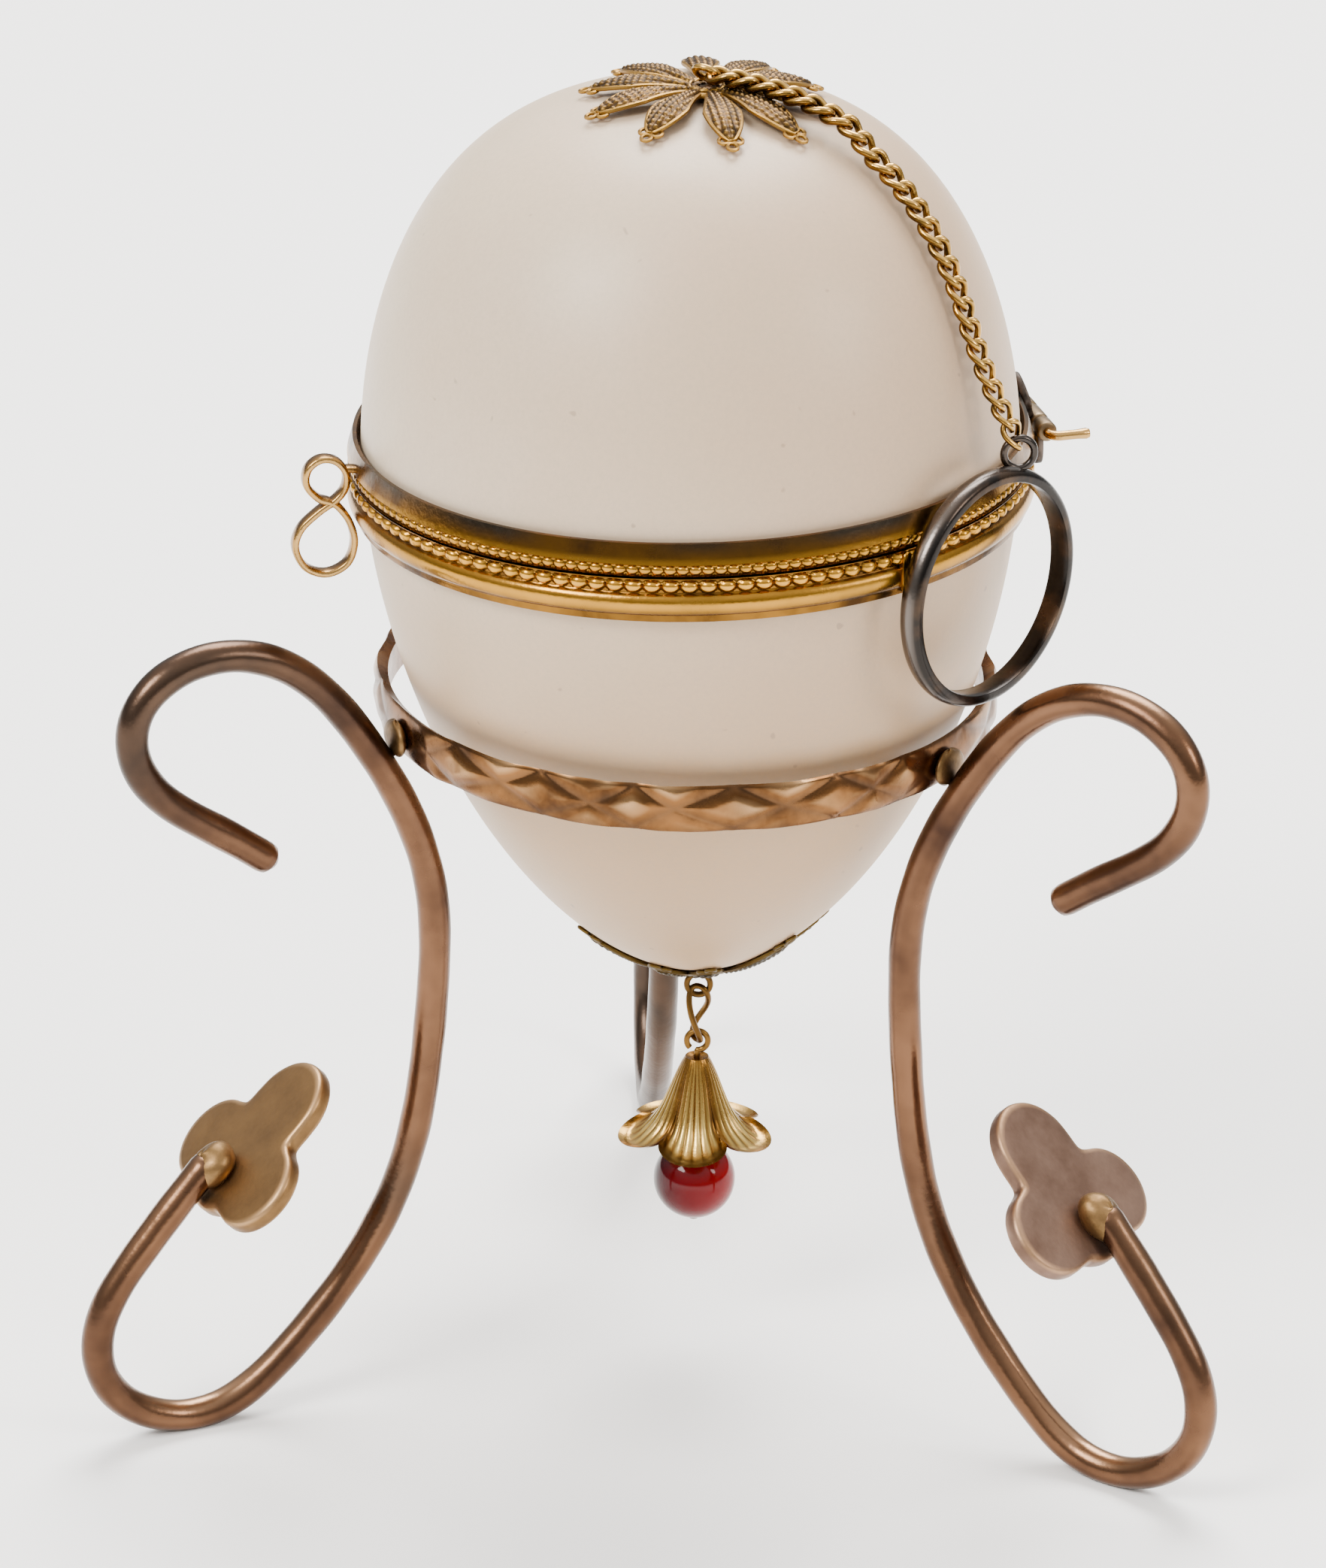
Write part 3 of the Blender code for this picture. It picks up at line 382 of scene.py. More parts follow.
lid_profile = np.vstack([
    line((RIM_INNER, 3.0), (30.55, 3.05), 2), line((30.68, 2.98), (31.22, 1.2), 8),
    line((31.22, 1.2), (30.98, 1.06), 3), line((30.94, 1.0), (30.94, 0.26), 9),
    line((30.98, 0.22), (31.2, 0.15), 2), line((31.2, 0.15), (RIM_BORE, 0.15), 3),
    line((RIM_BORE, 0.15), (RIM_BORE, 0.75), 2), line((RIM_BORE, 0.75), (RIM_INNER, 0.75), 3),
    line((RIM_INNER, 0.75), (RIM_INNER, 3.0), 4),
])
lid_points, lid_swell = beaded(lid_profile, BEADS_ROUND_LID, 0.63, 0.4, 0.24)
slope = np.exp(-((lid_profile[:, 1:2] - 1.25) / 0.35) ** 2) * (lid_profile[:, :1] > 30.6)
lid_turn = np.linspace(0, 2 * math.pi, lid_points.shape[1], endpoint=False)
top_edge = np.clip((lid_profile[:, 1:2] - 1.7) / 1.0, 0, 1) * (lid_profile[:, :1] > 30.4)
patchy = np.clip(0.45 + 0.5 * np.sin(5 * lid_turn + 1.0) + 0.4 * np.sin(11 * lid_turn), 0.1, 1)
lid_rub = 0.5 * lid_swell + 0.4 * slope - 0.85 * top_edge * patchy
lid_points = np.concatenate([lid_points, lid_rub[..., None]], axis=2)
piece("lid_band", [wrap(on_egg(lid_points), closed=True)], GILT_RIM, "lid", ["lid_rim"])

round_angle = np.radians(np.linspace(-80, 80, 14))[:, None]
moulding = np.hstack([30.72 + 0.62 * np.cos(round_angle), -2.62 - 0.98 * np.sin(round_angle)])
bowl_profile = np.vstack([
    line((RIM_INNER, -0.75), (RIM_BORE, -0.75), 3), line((RIM_BORE, -0.75), (RIM_BORE, -0.15), 2),
    line((RIM_BORE, -0.15), (31.05, -0.15), 4), line((31.05, -0.15), (31.02, -0.3), 2),
    line((30.78, -0.36), (30.78, -1.44), 12), line((30.74, -1.5), (30.8, -1.6), 2), moulding,
    line((30.78, -3.66), (30.78, -4.12), 3), line((30.72, -4.25), (RIM_INNER, -4.3), 2),
    line((RIM_INNER, -4.3), (RIM_INNER, -0.75), 4),
])
bowl_points, bowl_swell = beaded(bowl_profile, BEADS_ROUND_BOWL, -0.9, 0.57, 0.5)
crown = np.exp(-((bowl_profile[:, 1:2] + 2.5) / 0.7) ** 2) * (bowl_profile[:, :1] > 30.9)
bowl_points = np.concatenate([bowl_points, (0.8 * bowl_swell + 0.5 * crown)[..., None]], axis=2)
piece("bowl_band", [wrap(on_egg(bowl_points), closed=True)], GILT_RIM, "root", ["bowl_rim"])


def carried(profile, path, across, closed=False):
    """A grid of points: a profile of two offsets carried along a path.

    The first offset is along the direction across, made square to the path, the second along the
    direction square to both. The profile may be one for all points or one for each.
    """
    if closed:
        along = np.roll(path, -1, axis=0) - np.roll(path, 1, axis=0)
    else:
        along = np.gradient(path, axis=0)
    along = along / np.linalg.norm(along, axis=1, keepdims=True)
    across = np.broadcast_to(across, path.shape)
    across = across - along * np.sum(across * along, axis=1, keepdims=True)
    across = across / np.linalg.norm(across, axis=1, keepdims=True)
    other = np.cross(along, across)
    profile = np.broadcast_to(profile, (len(path),) + profile.shape[-2:])
    return path[:, None] + profile[..., :1] * across[:, None] + profile[..., 1:] * other[:, None]


def round_profile(radius, sides):
    """A circle as pairs of offsets."""
    angle = np.linspace(0, 2 * math.pi, sides, endpoint=False)
    return radius * np.stack([np.cos(angle), np.sin(angle)], axis=1)


def smooth_line(points, count, closed=False):
    """Evenly spaced points on a Catmull-Rom curve through the given ones."""
    p = np.array(points, float)
    if closed:
        p = np.vstack([p[-1], p, p[0], p[1]])
    else:
        p = np.vstack([2 * p[0] - p[1], p, 2 * p[-1] - p[-2]])
    t = np.linspace(0, 1, 24, endpoint=False)[:, None]
    spans = []
    for a, b, c, d in zip(p[:-3], p[1:-2], p[2:-1], p[3:]):
        spans.append(0.5 * (2 * b + (c - a) * t + (2 * a - 5 * b + 4 * c - d) * t ** 2
                            + (3 * b - a - 3 * c + d) * t ** 3))
    fine = np.vstack(spans + [p[-2:-1]])
    run = np.concatenate([[0], np.cumsum(np.linalg.norm(np.diff(fine, axis=0), axis=1))])
    even = np.linspace(0, run[-1], count, endpoint=not closed)
    return np.stack([np.interp(even, run, fine[:, k]) for k in range(p.shape[1])], axis=1)


def eased(line_points, spread):
    """A line with its small kinks smoothed away: a weighted mean of neighbours, its shrinkage put back."""
    weight = np.exp(-0.5 * (np.arange(-3 * spread, 3 * spread + 1) / spread) ** 2)
    weight = weight / weight.sum()

    def mean_of(p):
        before = 2 * p[0] - p[3 * spread:0:-1]
        after = 2 * p[-1] - p[-2:-2 - 3 * spread:-1]
        longer = np.vstack([before, p, after])
        return np.stack([np.convolve(longer[:, k], weight, "valid") for k in range(p.shape[1])], axis=1)

    soft = mean_of(line_points)
    return soft + mean_of(line_points - soft)


def with_wear_and_painted_light(points, share):
    """Add how much each point is rubbed bright, or painted lighter or darker as highlight and shade."""
    return np.concatenate([points, np.broadcast_to(share, points.shape[:2])[..., None]], axis=2)


def polar(radius, azimuth, height=0.0):
    """The point at a radius and an azimuth in degrees."""
    angle = math.radians(azimuth)
    return np.array((radius * math.cos(angle), radius * math.sin(angle), height))


# Hinge
# A tongue and one knuckle on the lid, a forked plate and two knuckles on the bowl, and a gilt wire
# pin with its near end bent outwards. Both plates have tarnished nearly black.
HINGE_AZIMUTH = 14
HINGE_STANDOFF = 1.4
BARREL_RADIUS = 0.95
PLATE_THICKNESS = 0.7
PLATE_BEHIND_BARREL = 0.66
TONGUE_LEAN = math.radians(16)
HINGE_WIRE_RADIUS = 0.45
UPRIGHT = np.array((0, 0, 1.0))
hinge_place = polar(RIM_OUTER + HINGE_STANDOFF, HINGE_AZIMUTH)
HINGE_OUT = polar(1, HINGE_AZIMUTH)
HINGE_ALONG = polar(1, HINGE_AZIMUTH + 90)
DARK_HINGE = old_brass("tarnished_brass", "#2B2826", "#5B5048", "#A58A62", 2.5, (0.35, 0.5), 0.3)
GILT_WIRE = old_brass("gilt_brass_wire", "#543A1E", "#916A38", "#D9AE68", 3.0, (0.2, 0.34), 0.3)


def barrel(near, far):
    """A knuckle: a short round bar along the hinge line, with its two rims rounded over."""
    share = np.array((0, 0.04, 0.12, 0.88, 0.96, 1.0))
    swell = np.array((0.8, 0.95, 1.0, 1.0, 0.95, 0.8))
    path = hinge_place + np.outer(near + (far - near) * share, HINGE_ALONG)
    profile = round_profile(BARREL_RADIUS, 24)[None] * swell[:, None, None]
    return wrap(on_egg(with_wear_and_painted_light(carried(profile, path, HINGE_OUT), 0.35)))


def slab(outline, thickness, origin, across, up, rounding=0.16):
    """A plate with rounded edges: its outline drawn in two directions from an origin.

    The faces close towards a point half way down to the lowest edge, so a notch above stays open.
    """
    outline = smooth_line(outline, 60, closed=True)
    middle = (outline.mean(axis=0) + (0, outline[:, 1].min())) / (1, 2)
    size = np.abs(outline - middle).max()
    rows = []
    for inset, level in ((0.5, 1), (rounding, 1), (0.3 * rounding, 0.72), (0, 0.3), (0, -0.3),
                         (0.3 * rounding, -0.72), (rounding, -1), (0.5, -1)):
        flat = middle + (outline - middle) * (1 - inset / size if inset < 0.5 else 0.5)
        rows.append(np.hstack([flat, np.full((60, 1), level * thickness / 2)]))
    grid = np.array(rows)
    face = np.cross(across, up)
    return origin + grid[..., :1] * across + grid[..., 1:2] * up + grid[..., 2:] * face


plate_foot = hinge_place - PLATE_BEHIND_BARREL * HINGE_OUT
tongue_up = UPRIGHT * math.cos(TONGUE_LEAN) - HINGE_OUT * math.sin(TONGUE_LEAN)
tongue = [(-1.1, 0.35), (1.1, 0.35), (1.3, 1.2), (1.95, 2.2), (1.7, 3.2), (0.9, 4.3), (0, 4.7),
          (-0.9, 4.3), (-1.7, 3.2), (-1.95, 2.2), (-1.3, 1.2)]
lid_tongue = slab(tongue, PLATE_THICKNESS, plate_foot + 0.1 * UPRIGHT, HINGE_ALONG, tongue_up)
piece("lid_hinge", [barrel(-1.6, 1.6), wrap(on_egg(lid_tongue))], DARK_HINGE, "lid",
      ["lid_hinge_plate"])
fork = [(-3.8, -0.2), (-2.4, -0.4), (-2.0, -1.7), (2.0, -1.7), (2.4, -0.4), (3.8, -0.2), (3.8, -2.6),
        (2.4, -3.4), (-2.4, -3.4), (-3.8, -2.6)]
bowl_fork = slab(fork, PLATE_THICKNESS, plate_foot, HINGE_ALONG, UPRIGHT)
piece("bowl_hinge", [barrel(-4.0, -2.0), barrel(2.0, 4.0), wrap(on_egg(bowl_fork))], DARK_HINGE, "root",
      ["bowl_hinge_plate"])

bend = np.radians(np.linspace(0, 90, 9))
pin_line = np.vstack([[(0, 4.3), (0, 0), (0, -4.0)],
                      np.stack([0.9 * (1 - np.cos(bend)), -4.3 - 0.9 * np.sin(bend)], axis=1),
                      [(2.4, -5.2), (3.3, -5.2), (3.6, -5.2)]])
pin_path = hinge_place + pin_line[:, :1] * HINGE_OUT + pin_line[:, 1:] * HINGE_ALONG
pin_wide = np.ones(len(pin_line))
pin_wide[-2:] = (1.15, 0.9)
pin_profile = round_profile(HINGE_WIRE_RADIUS, 16)[None] * pin_wide[:, None, None]
pin = carried(pin_profile, pin_path, UPRIGHT)
piece("hinge_wire", [wrap(on_egg(with_wear_and_painted_light(pin, 0.5)))], GILT_WIRE, "root", ["hinge_pin"])


# The bowl's band was closed with a small bar, which shows to the right of the front.
JOINT_AZIMUTH = -52.6
bar = [(-0.5, -1.6), (0.5, -1.6), (0.5, 1.6), (-0.5, 1.6)]
bar_points = slab(bar, 0.6, polar(RIM_OUTER, JOINT_AZIMUTH, -2.2), polar(1, JOINT_AZIMUTH + 90),
                  UPRIGHT)
piece("band_joint", [wrap(on_egg(with_wear_and_painted_light(bar_points, 0.35)))], GILT_RIM, "root")


# Thumbpiece
# A flat gilt strip bent into a figure of eight, standing edge on to the rim, and soldered to the lid's
# band by its upper loop. It lifts the lid.
THUMB_AZIMUTH = 194
STRIP_HALF_WIDTH = 0.72
STRIP_HALF_THICKNESS = 0.33
eight = smooth_line([(33.1, -1.3), (32.1, -2.9), (31.75, -4.9), (32.5, -6.8), (34.4, -7.6), (36.3, -6.8),
                     (37.15, -4.9), (36.6, -3.1), (34.9, -1.6), (33.3, -0.6), (32.4, 0.5), (32.3, 1.9),
                     (33.2, 3.1), (34.6, 3.35), (35.75, 2.5), (35.9, 1.0), (34.9, -0.3), (33.9, -0.75)],
                    140, closed=True)
thumb_out = polar(1, THUMB_AZIMUTH)
eight = eight - (0.35, 0.5)
thumb_path = eight[:, :1] * thumb_out + eight[:, 1:] * UPRIGHT
corner = np.radians(np.arange(0, 360, 22.5))
strip = np.stack([
    STRIP_HALF_WIDTH * np.sign(np.cos(corner)) * np.abs(np.cos(corner)) ** 0.4,
    STRIP_HALF_THICKNESS * np.sign(np.sin(corner)) * np.abs(np.sin(corner)) ** 0.6,
], axis=1)
thumb = carried(strip, thumb_path, polar(1, THUMB_AZIMUTH + 90), closed=True)
edge_share = 1.2 * np.clip(np.abs(strip[:, 0]) / STRIP_HALF_WIDTH - 0.5, 0, 1)[None] - 0.1
tab_path = np.array([(31.0, 1.6), (31.6, 1.7), (32.1, 1.7)])
tab_path = tab_path[:, :1] * thumb_out + tab_path[:, 1:] * UPRIGHT
tab = carried(strip * 0.9, tab_path, polar(1, THUMB_AZIMUTH + 90))
piece("figure_eight", [wrap(on_egg(with_wear_and_painted_light(thumb, edge_share)), closed=True),
                       wrap(on_egg(with_wear_and_painted_light(tab, 0.1)))], GILT_WIRE, "lid", ["thumbpiece"])


# Stars
# Ten filigree petals of gilt brass with granulation inside, a wire round each and tiny rings at its
# tip. The top one is on the lid, a little off the pole, and the other hugs the bottom of the bowl.
CHAIN_AZIMUTH = -27
GRANULATED = old_brass("granulated_bronze", "#21160B", "#453018", "#B2873F", 2.0, (0.3, 0.45), 0.25)
STAR_PETALS = 10
PETAL_HALF_WIDTH = 1.55
GRAIN_PITCH = 0.62
PETAL_ROOT = 0.8
EDGE_WIRE_RADIUS = 0.22
FRONT_PETAL_SHARE = 0.62


def star_parts(side, curve, middle, reach, lifts, seed):
    """Surfaces of one star: petals with grains, wire edges and rings at the tips, and a small boss.

    lifts are three heights over the glass, which pull a petal up as a curve does: at its root, over
    its middle and at its tip. The lower star's front petals are short.
    """
    chance = np.random.default_rng(seed)
    parts = []
    at_root, at_middle, at_tip = lifts

    def lift_at(s):
        return at_root * (1 - s) ** 2 + 2 * at_middle * s * (1 - s) + at_tip * s ** 2

    def drape(x, y, lift):
        distance = np.hypot(x, y)
        return np.stack([x, y, side * (egg_height(distance, curve) + lift)], axis=-1)

    for number in range(STAR_PETALS):
        azimuth = math.radians(360 / STAR_PETALS * number - 10 + chance.uniform(-3, 3))
        length = reach * chance.uniform(0.95, 1.02) - 0.9
        if side < 0 and math.sin(azimuth) < -0.75:
            length = FRONT_PETAL_SHARE * length
        out = np.array((math.cos(azimuth), math.sin(azimuth)))
        over = np.array((-math.sin(azimuth), math.cos(azimuth)))
        s = np.linspace(0, 1, 56)
        half = PETAL_HALF_WIDTH * (0.16 + 0.84 * (s / 0.6) ** 1.3 * np.clip((1 - s) / 0.4, 0, 1) ** 0.87)
        half = np.where(s < 0.1, np.maximum(half, 0.7), half)
        t = np.concatenate([np.linspace(-1, 1, 22), np.linspace(1, -1, 6)[1:-1]])
        top = np.arange(len(t)) < 22
        along = PETAL_ROOT + (length - PETAL_ROOT) * s[:, None]
        wide = half[:, None] * t
        x = middle[0] + along * out[0] + wide * over[0]
        y = middle[1] + along * out[1] + wide * over[1]
        grains = np.abs(np.sin(math.pi * along / GRAIN_PITCH) * np.sin(math.pi * wide / GRAIN_PITCH))
        crown = 0.25 * (1 - t ** 2)
        lift = lift_at(s[:, None]) + np.where(top, 0.3 + crown + 0.2 * grains, 0.0)
        parts.append(wrap(on_egg(with_wear_and_painted_light(drape(x, y, lift), np.where(top, 0.35 * grains ** 2, 0)))))

        ring_s = np.concatenate([s[::2], s[::-2]])
        sign = np.concatenate([np.ones(28), -np.ones(28)])
        edge = np.interp(ring_s, s, half) * sign
        along = PETAL_ROOT + (length - PETAL_ROOT) * ring_s
        x = middle[0] + along * out[0] + edge * over[0]
        y = middle[1] + along * out[1] + edge * over[1]
        path = drape(x, y, lift_at(ring_s) + 0.2)
        wire = carried(round_profile(EDGE_WIRE_RADIUS, 7), path, UPRIGHT, closed=True)
        parts.append(wrap(on_egg(with_wear_and_painted_light(wire, 0.6)), closed=True))
        for aside, ahead in ((-0.62, -0.15), (0.62, -0.15), (0.0, 0.7)):
            turn = np.linspace(0, 2 * math.pi, 12, endpoint=False)
            centre = out * (length + ahead) + over * aside
            x = middle[0] + centre[0] + 0.46 * np.cos(turn)
            y = middle[1] + centre[1] + 0.46 * np.sin(turn)
            path = drape(x, y, at_tip + 0.15)
            coil = carried(round_profile(0.18, 6), path, UPRIGHT, closed=True)
            parts.append(wrap(on_egg(with_wear_and_painted_light(coil, 0.6)), closed=True))

    turn = np.linspace(0, 2 * math.pi, 40, endpoint=False)
    for radius, lift, wire_radius in ((2.3, 0.75, 0.3), (1.6, 1.0, 0.28)):
        x = middle[0] + radius * np.cos(turn)
        y = middle[1] + radius * np.sin(turn)
        path = drape(x, y, lift + 0.08 * np.sin(10 * turn))
        coil = carried(round_profile(wire_radius, 8), path, UPRIGHT, closed=True)
        parts.append(wrap(on_egg(with_wear_and_painted_light(coil, 0.45)), closed=True))
    boss_line = [(0.1, 1.0), (0.8, 0.95), (1.7, 0.75), (2.3, 0.4), (1.7, 0.3), (0.1, 0.3)]
    boss = turned(np.array(boss_line), 30)
    boss[..., 2] += egg_height(math.hypot(*middle[:2]), curve)
    boss[..., 2] *= side
    boss[..., :2] += middle[:2]
    parts.append(wrap(on_egg(boss)))
    return parts


piece("filigree_star_top", star_parts(1, LID_CURVE, polar(2.2, CHAIN_AZIMUTH), 11.7, (0.4, 1.5, 0.5), 7),
      GRANULATED, "lid", ["top_star"])
# Painted shade: a darker copy of the granulated finish for the star under the bowl.
SHADED_BRONZE = old_brass("granulated_bronze_painted_shade", "#181209", "#2F2511", "#6A5429", 2.0, (0.4, 0.55), 0.25)
piece("filigree_star_bottom", star_parts(-1, BOWL_CURVE, np.zeros(3), 12.4, (0.3, 0.15, 0.15), 11),
      SHADED_BRONZE, "root", ["bottom_star"])


# Chain
# Bright gilt links, each an oval of wire twisted a quarter turn from end to end, so that they close up
# like a braid. A loop on the star carries the first, and the last carries the finger ring.
CHAIN_GILT = old_brass("gilt_brass_links", "#45300F", "#8F672A", "#F0BF66", 2.0, (0.16, 0.28), 0.3)
WIRE_RADIUS = 0.3
FIRST_LINK_WIRE = 0.38
MIDDLE_LINK_WIRE = 0.34
LAST_LINK_WIRE = 0.27


def axes_of(node_name):
    """A link's middle, its long, wide and thin directions, and its reach along each."""
    mesh = frame["nodes"][node_name].data
    corners = np.empty(len(mesh.vertices) * 3)
    mesh.vertices.foreach_get("co", corners)
    corners = corners.reshape(-1, 3) / MM
    middle = corners.mean(axis=0)
    directions = np.linalg.svd(corners - middle, full_matrices=False)[2]
    reach = np.ptp((corners - middle) @ directions.T, axis=0)
    return middle, directions, reach


def oval_link(node_name, toward, outward, crossed, wire_radius):
    """One link twisted a quarter turn: its width turns from one direction to the one square to it."""
    middle, (long_way, wide_way, thin_way), reach = axes_of(node_name)
    if long_way @ toward < 0:
        long_way = -long_way
    far, near = (thin_way, wide_way) if crossed else (wide_way, thin_way)
    if abs((far + near) @ outward) > abs((far - near) @ outward):
        near = -near
    turn = np.linspace(0, 2 * math.pi, 36, endpoint=False)
    half_length = reach[0] / 2 - WIRE_RADIUS
    half_width = reach[1] / 2 - WIRE_RADIUS
    share = np.sign(np.cos(turn)) * np.abs(np.cos(turn)) ** 0.8
    twist = (math.pi / 4) * share[:, None]
    level, upright = (far + near) / math.sqrt(2), (far - near) / math.sqrt(2)
    width_way = level * np.cos(twist) + upright * np.sin(twist)
    path = middle + half_length * share[:, None] * long_way + half_width * np.sin(turn)[:, None] * width_way
    face_way = np.cross(long_way, width_way)
    wire = carried(round_profile(wire_radius, 10), path, face_way, closed=True)
    # Painted highlight and shade: the side of the wire facing away from the egg is painted brighter, as wear
    # and painted highlight, and the side facing the egg a little darker, as painted shade.
    painted_light_and_wear = np.clip((wire - path[:, None]) @ outward / wire_radius, 0, 1)
    return wrap(with_wear_and_painted_light(wire, painted_light_and_wear ** 1.5 - 0.15), closed=True)


link_names = sorted(name for name in frame["nodes"] if name.startswith("chain_link_"))
link_middles = [axes_of(name)[0] for name in link_names]
for number, name in enumerate(link_names):
    ahead = link_middles[min(number + 1, len(link_names) - 1)] - link_middles[max(number - 1, 0)]
    outward = link_middles[number] - (EGG_SEAM - 8 * EGG_UP)
    outward = outward / np.linalg.norm(outward)
    crossed = (len(link_names) - 1 - number) % 2 == 1
    share = number / (len(link_names) - 1)
    thick = np.interp(share, (0, 0.7, 1), (FIRST_LINK_WIRE, MIDDLE_LINK_WIRE, LAST_LINK_WIRE))
    piece(name.replace("chain_link", "braid_link"), [oval_link(name, ahead, outward, crossed, thick)],
          CHAIN_GILT, "lid", [name])


def round_loop(node_name, radius, wire_radius, share):
    """A smooth round loop of wire in the place of a faceted one."""
    middle, (first, second, thin_way), _ = axes_of(node_name)
    turn = np.linspace(0, 2 * math.pi, 40, endpoint=False)[:, None]
    path = middle + radius * (np.cos(turn) * first + np.sin(turn) * second)
    wire = carried(round_profile(wire_radius, 12), path, thin_way, closed=True)
    return wrap(with_wear_and_painted_light(wire, share), closed=True)


piece("star_loop", [round_loop("top_loop", 1.1, 0.33, 0.5)], CHAIN_GILT, "lid", ["top_loop"])


# Finger ring
# A half-round band of dark steel, worn bright along its outside, with a small bail soldered on. The
# chain's last link goes through the bail.
RING_RADIUS = 11.0
RING_WALL = 1.2
RING_WIDTH = 2.15
RING_TURN = math.radians(17)
RING_FACING = -43
BAIL_RADIUS = 1.4
BAIL_WIRE = 0.35
swing = next(joint for joint in frame["joints"] if joint["name"] == "ring_swing")
pivot = np.array(swing["pos_m"]) / MM
swing_axis = np.array(swing["axis"])
ring_across, ring_face = polar(1, RING_FACING + 90), polar(1, RING_FACING)
to_bail = ring_across * math.sin(RING_TURN) + UPRIGHT * math.cos(RING_TURN)
bail_middle = pivot - 0.45 * UPRIGHT
ring_middle = bail_middle - to_bail * (RING_RADIUS + BAIL_RADIUS - BAIL_WIRE / 2)

STEEL, tree, shader = finish_of("steel_band_drawn_and_worn")
where = add(tree, "ShaderNodeTexCoord").outputs["Object"]
worn = noise(tree, where, 4.0, 4.0)
base = mixed(tree, ranged(tree, worn, 0.5, 0.72), "#2A2725", "#4A3B2F")
wear_and_light_fac = add(tree, "ShaderNodeAttribute", attribute_name="wear_and_painted_light", attribute_type="GEOMETRY").outputs["Fac"]
tree.links.new(mixed(tree, wear_and_light_fac, base, "#6A625C"), shader.inputs["Base Color"])
tree.links.new(ranged(tree, worn, 0, 1, 0.14, 0.34), shader.inputs["Roughness"])
scratch = noise(tree, where, 0.4, 3.0)
bump = add(tree, "ShaderNodeBump", {"Height": scratch, "Strength": 0.2, "Distance": 0.06 * MM})
tree.links.new(bump.outputs["Normal"], shader.inputs["Normal"])
shader.inputs["Metallic"].default_value = 1.0

crown_angle = np.radians(np.linspace(-84, 84, 15))[:, None]
ring_bore = RING_RADIUS - RING_WALL
half_band = RING_WIDTH / 2
band = np.vstack([
    np.hstack([ring_bore + 0.35 + 0.85 * np.cos(crown_angle) ** 0.8, half_band * np.sin(crown_angle)]),
    [(ring_bore + 0.05, half_band * 0.98), (ring_bore, half_band * 0.9), (ring_bore, 0),
     (ring_bore, -half_band * 0.9), (ring_bore + 0.05, -half_band * 0.98)],
])
band_grid = turned(band, 144)
band_points = ring_middle + (band_grid[..., :1] * ring_across + band_grid[..., 1:2] * UPRIGHT
                             + band_grid[..., 2:] * ring_face)
band_rub = np.clip(band[:, :1] - (RING_RADIUS - 0.25), 0, 1) * 3.2
turn = np.linspace(0, 2 * math.pi, 40, endpoint=False)[:, None]
level = np.cross(UPRIGHT, swing_axis)
level = level / np.linalg.norm(level)
bail_turn = np.cos(turn) * level + np.sin(turn) * np.cross(swing_axis, level)
bail_path = bail_middle + BAIL_RADIUS * bail_turn
bail = carried(round_profile(BAIL_WIRE, 12), bail_path, swing_axis, closed=True)
piece("steel_finger_ring", [wrap(with_wear_and_painted_light(band_points, np.clip(band_rub, 0, 0.8)), closed=True),
                            wrap(with_wear_and_painted_light(bail, 0.2), closed=True)], STEEL, "finger_ring",
      ["finger_ring"])


# Drop
# Under the bowl hang a loop, a long link of dark wire, a bell flower of thin pressed brass with five
# fluted petals, and a ruby glass bead, all threaded on one wire pin.
DARK_WIRE = old_brass("bronzed_wire", "#281B10", "#513819", "#A07539", 2.0, (0.28, 0.42), 0.3)
piece("bottom_wire_loop", [round_loop("bottom_loop", 1.1, WIRE_RADIUS, 0.2)], DARK_WIRE, "root",
      ["bottom_loop"])
LOOP_RADIUS = 1.1
UNDER_BOWL = 1.1
DROP_LINK_LENGTH = 5.6
DROP_LINK_HALF_WIDTH = 1.05
EYE_RADIUS = 1.0
loop_middle = EGG_SEAM - EGG_UP * (BOWL_CURVE[0] + UNDER_BOWL + WIRE_RADIUS + LOOP_RADIUS)
link_top = 0.9 - LOOP_RADIUS
link_bottom = link_top - DROP_LINK_LENGTH
turn = np.linspace(0, 2 * math.pi, 48, endpoint=False)
link_height = (link_top + link_bottom) / 2 + DROP_LINK_LENGTH / 2 * np.sin(turn)
link_twist = 0.6 + 1.35 * np.sin(turn) + 0.2 * np.sin(2 * turn)
link_half = DROP_LINK_HALF_WIDTH * np.sign(np.cos(turn)) * np.abs(np.cos(turn)) ** 0.6
link_path = loop_middle + np.stack([link_half * np.sin(link_twist), link_half * np.cos(link_twist),
                                    link_height], axis=1)
link_path = eased(np.vstack([link_path[-6:], link_path, link_path[:6]]), 2)[6:-6]
drop_wire = carried(round_profile(WIRE_RADIUS, 10), link_path, np.array((0.7, 0.7, 0)), closed=True)
piece("drop_wire_link", [wrap(with_wear_and_painted_light(drop_wire, 0.25), closed=True)], DARK_WIRE, "root",
      ["drop_link"])

BELL_RADIUS = 7.5
BELL_HEIGHT = 9.0
BELL_WALL = 0.5
BELL_PETALS = 5
BELL_TURN = math.radians(-21)
eye_height = link_bottom + 0.9 - EYE_RADIUS
bell_top = eye_height - EYE_RADIUS - 0.6
BELL_GILT = old_brass("gilt_brass_pressed", "#5A3A14", "#94692B", "#FFDD80", 5.0, (0.2, 0.34), 0.4)


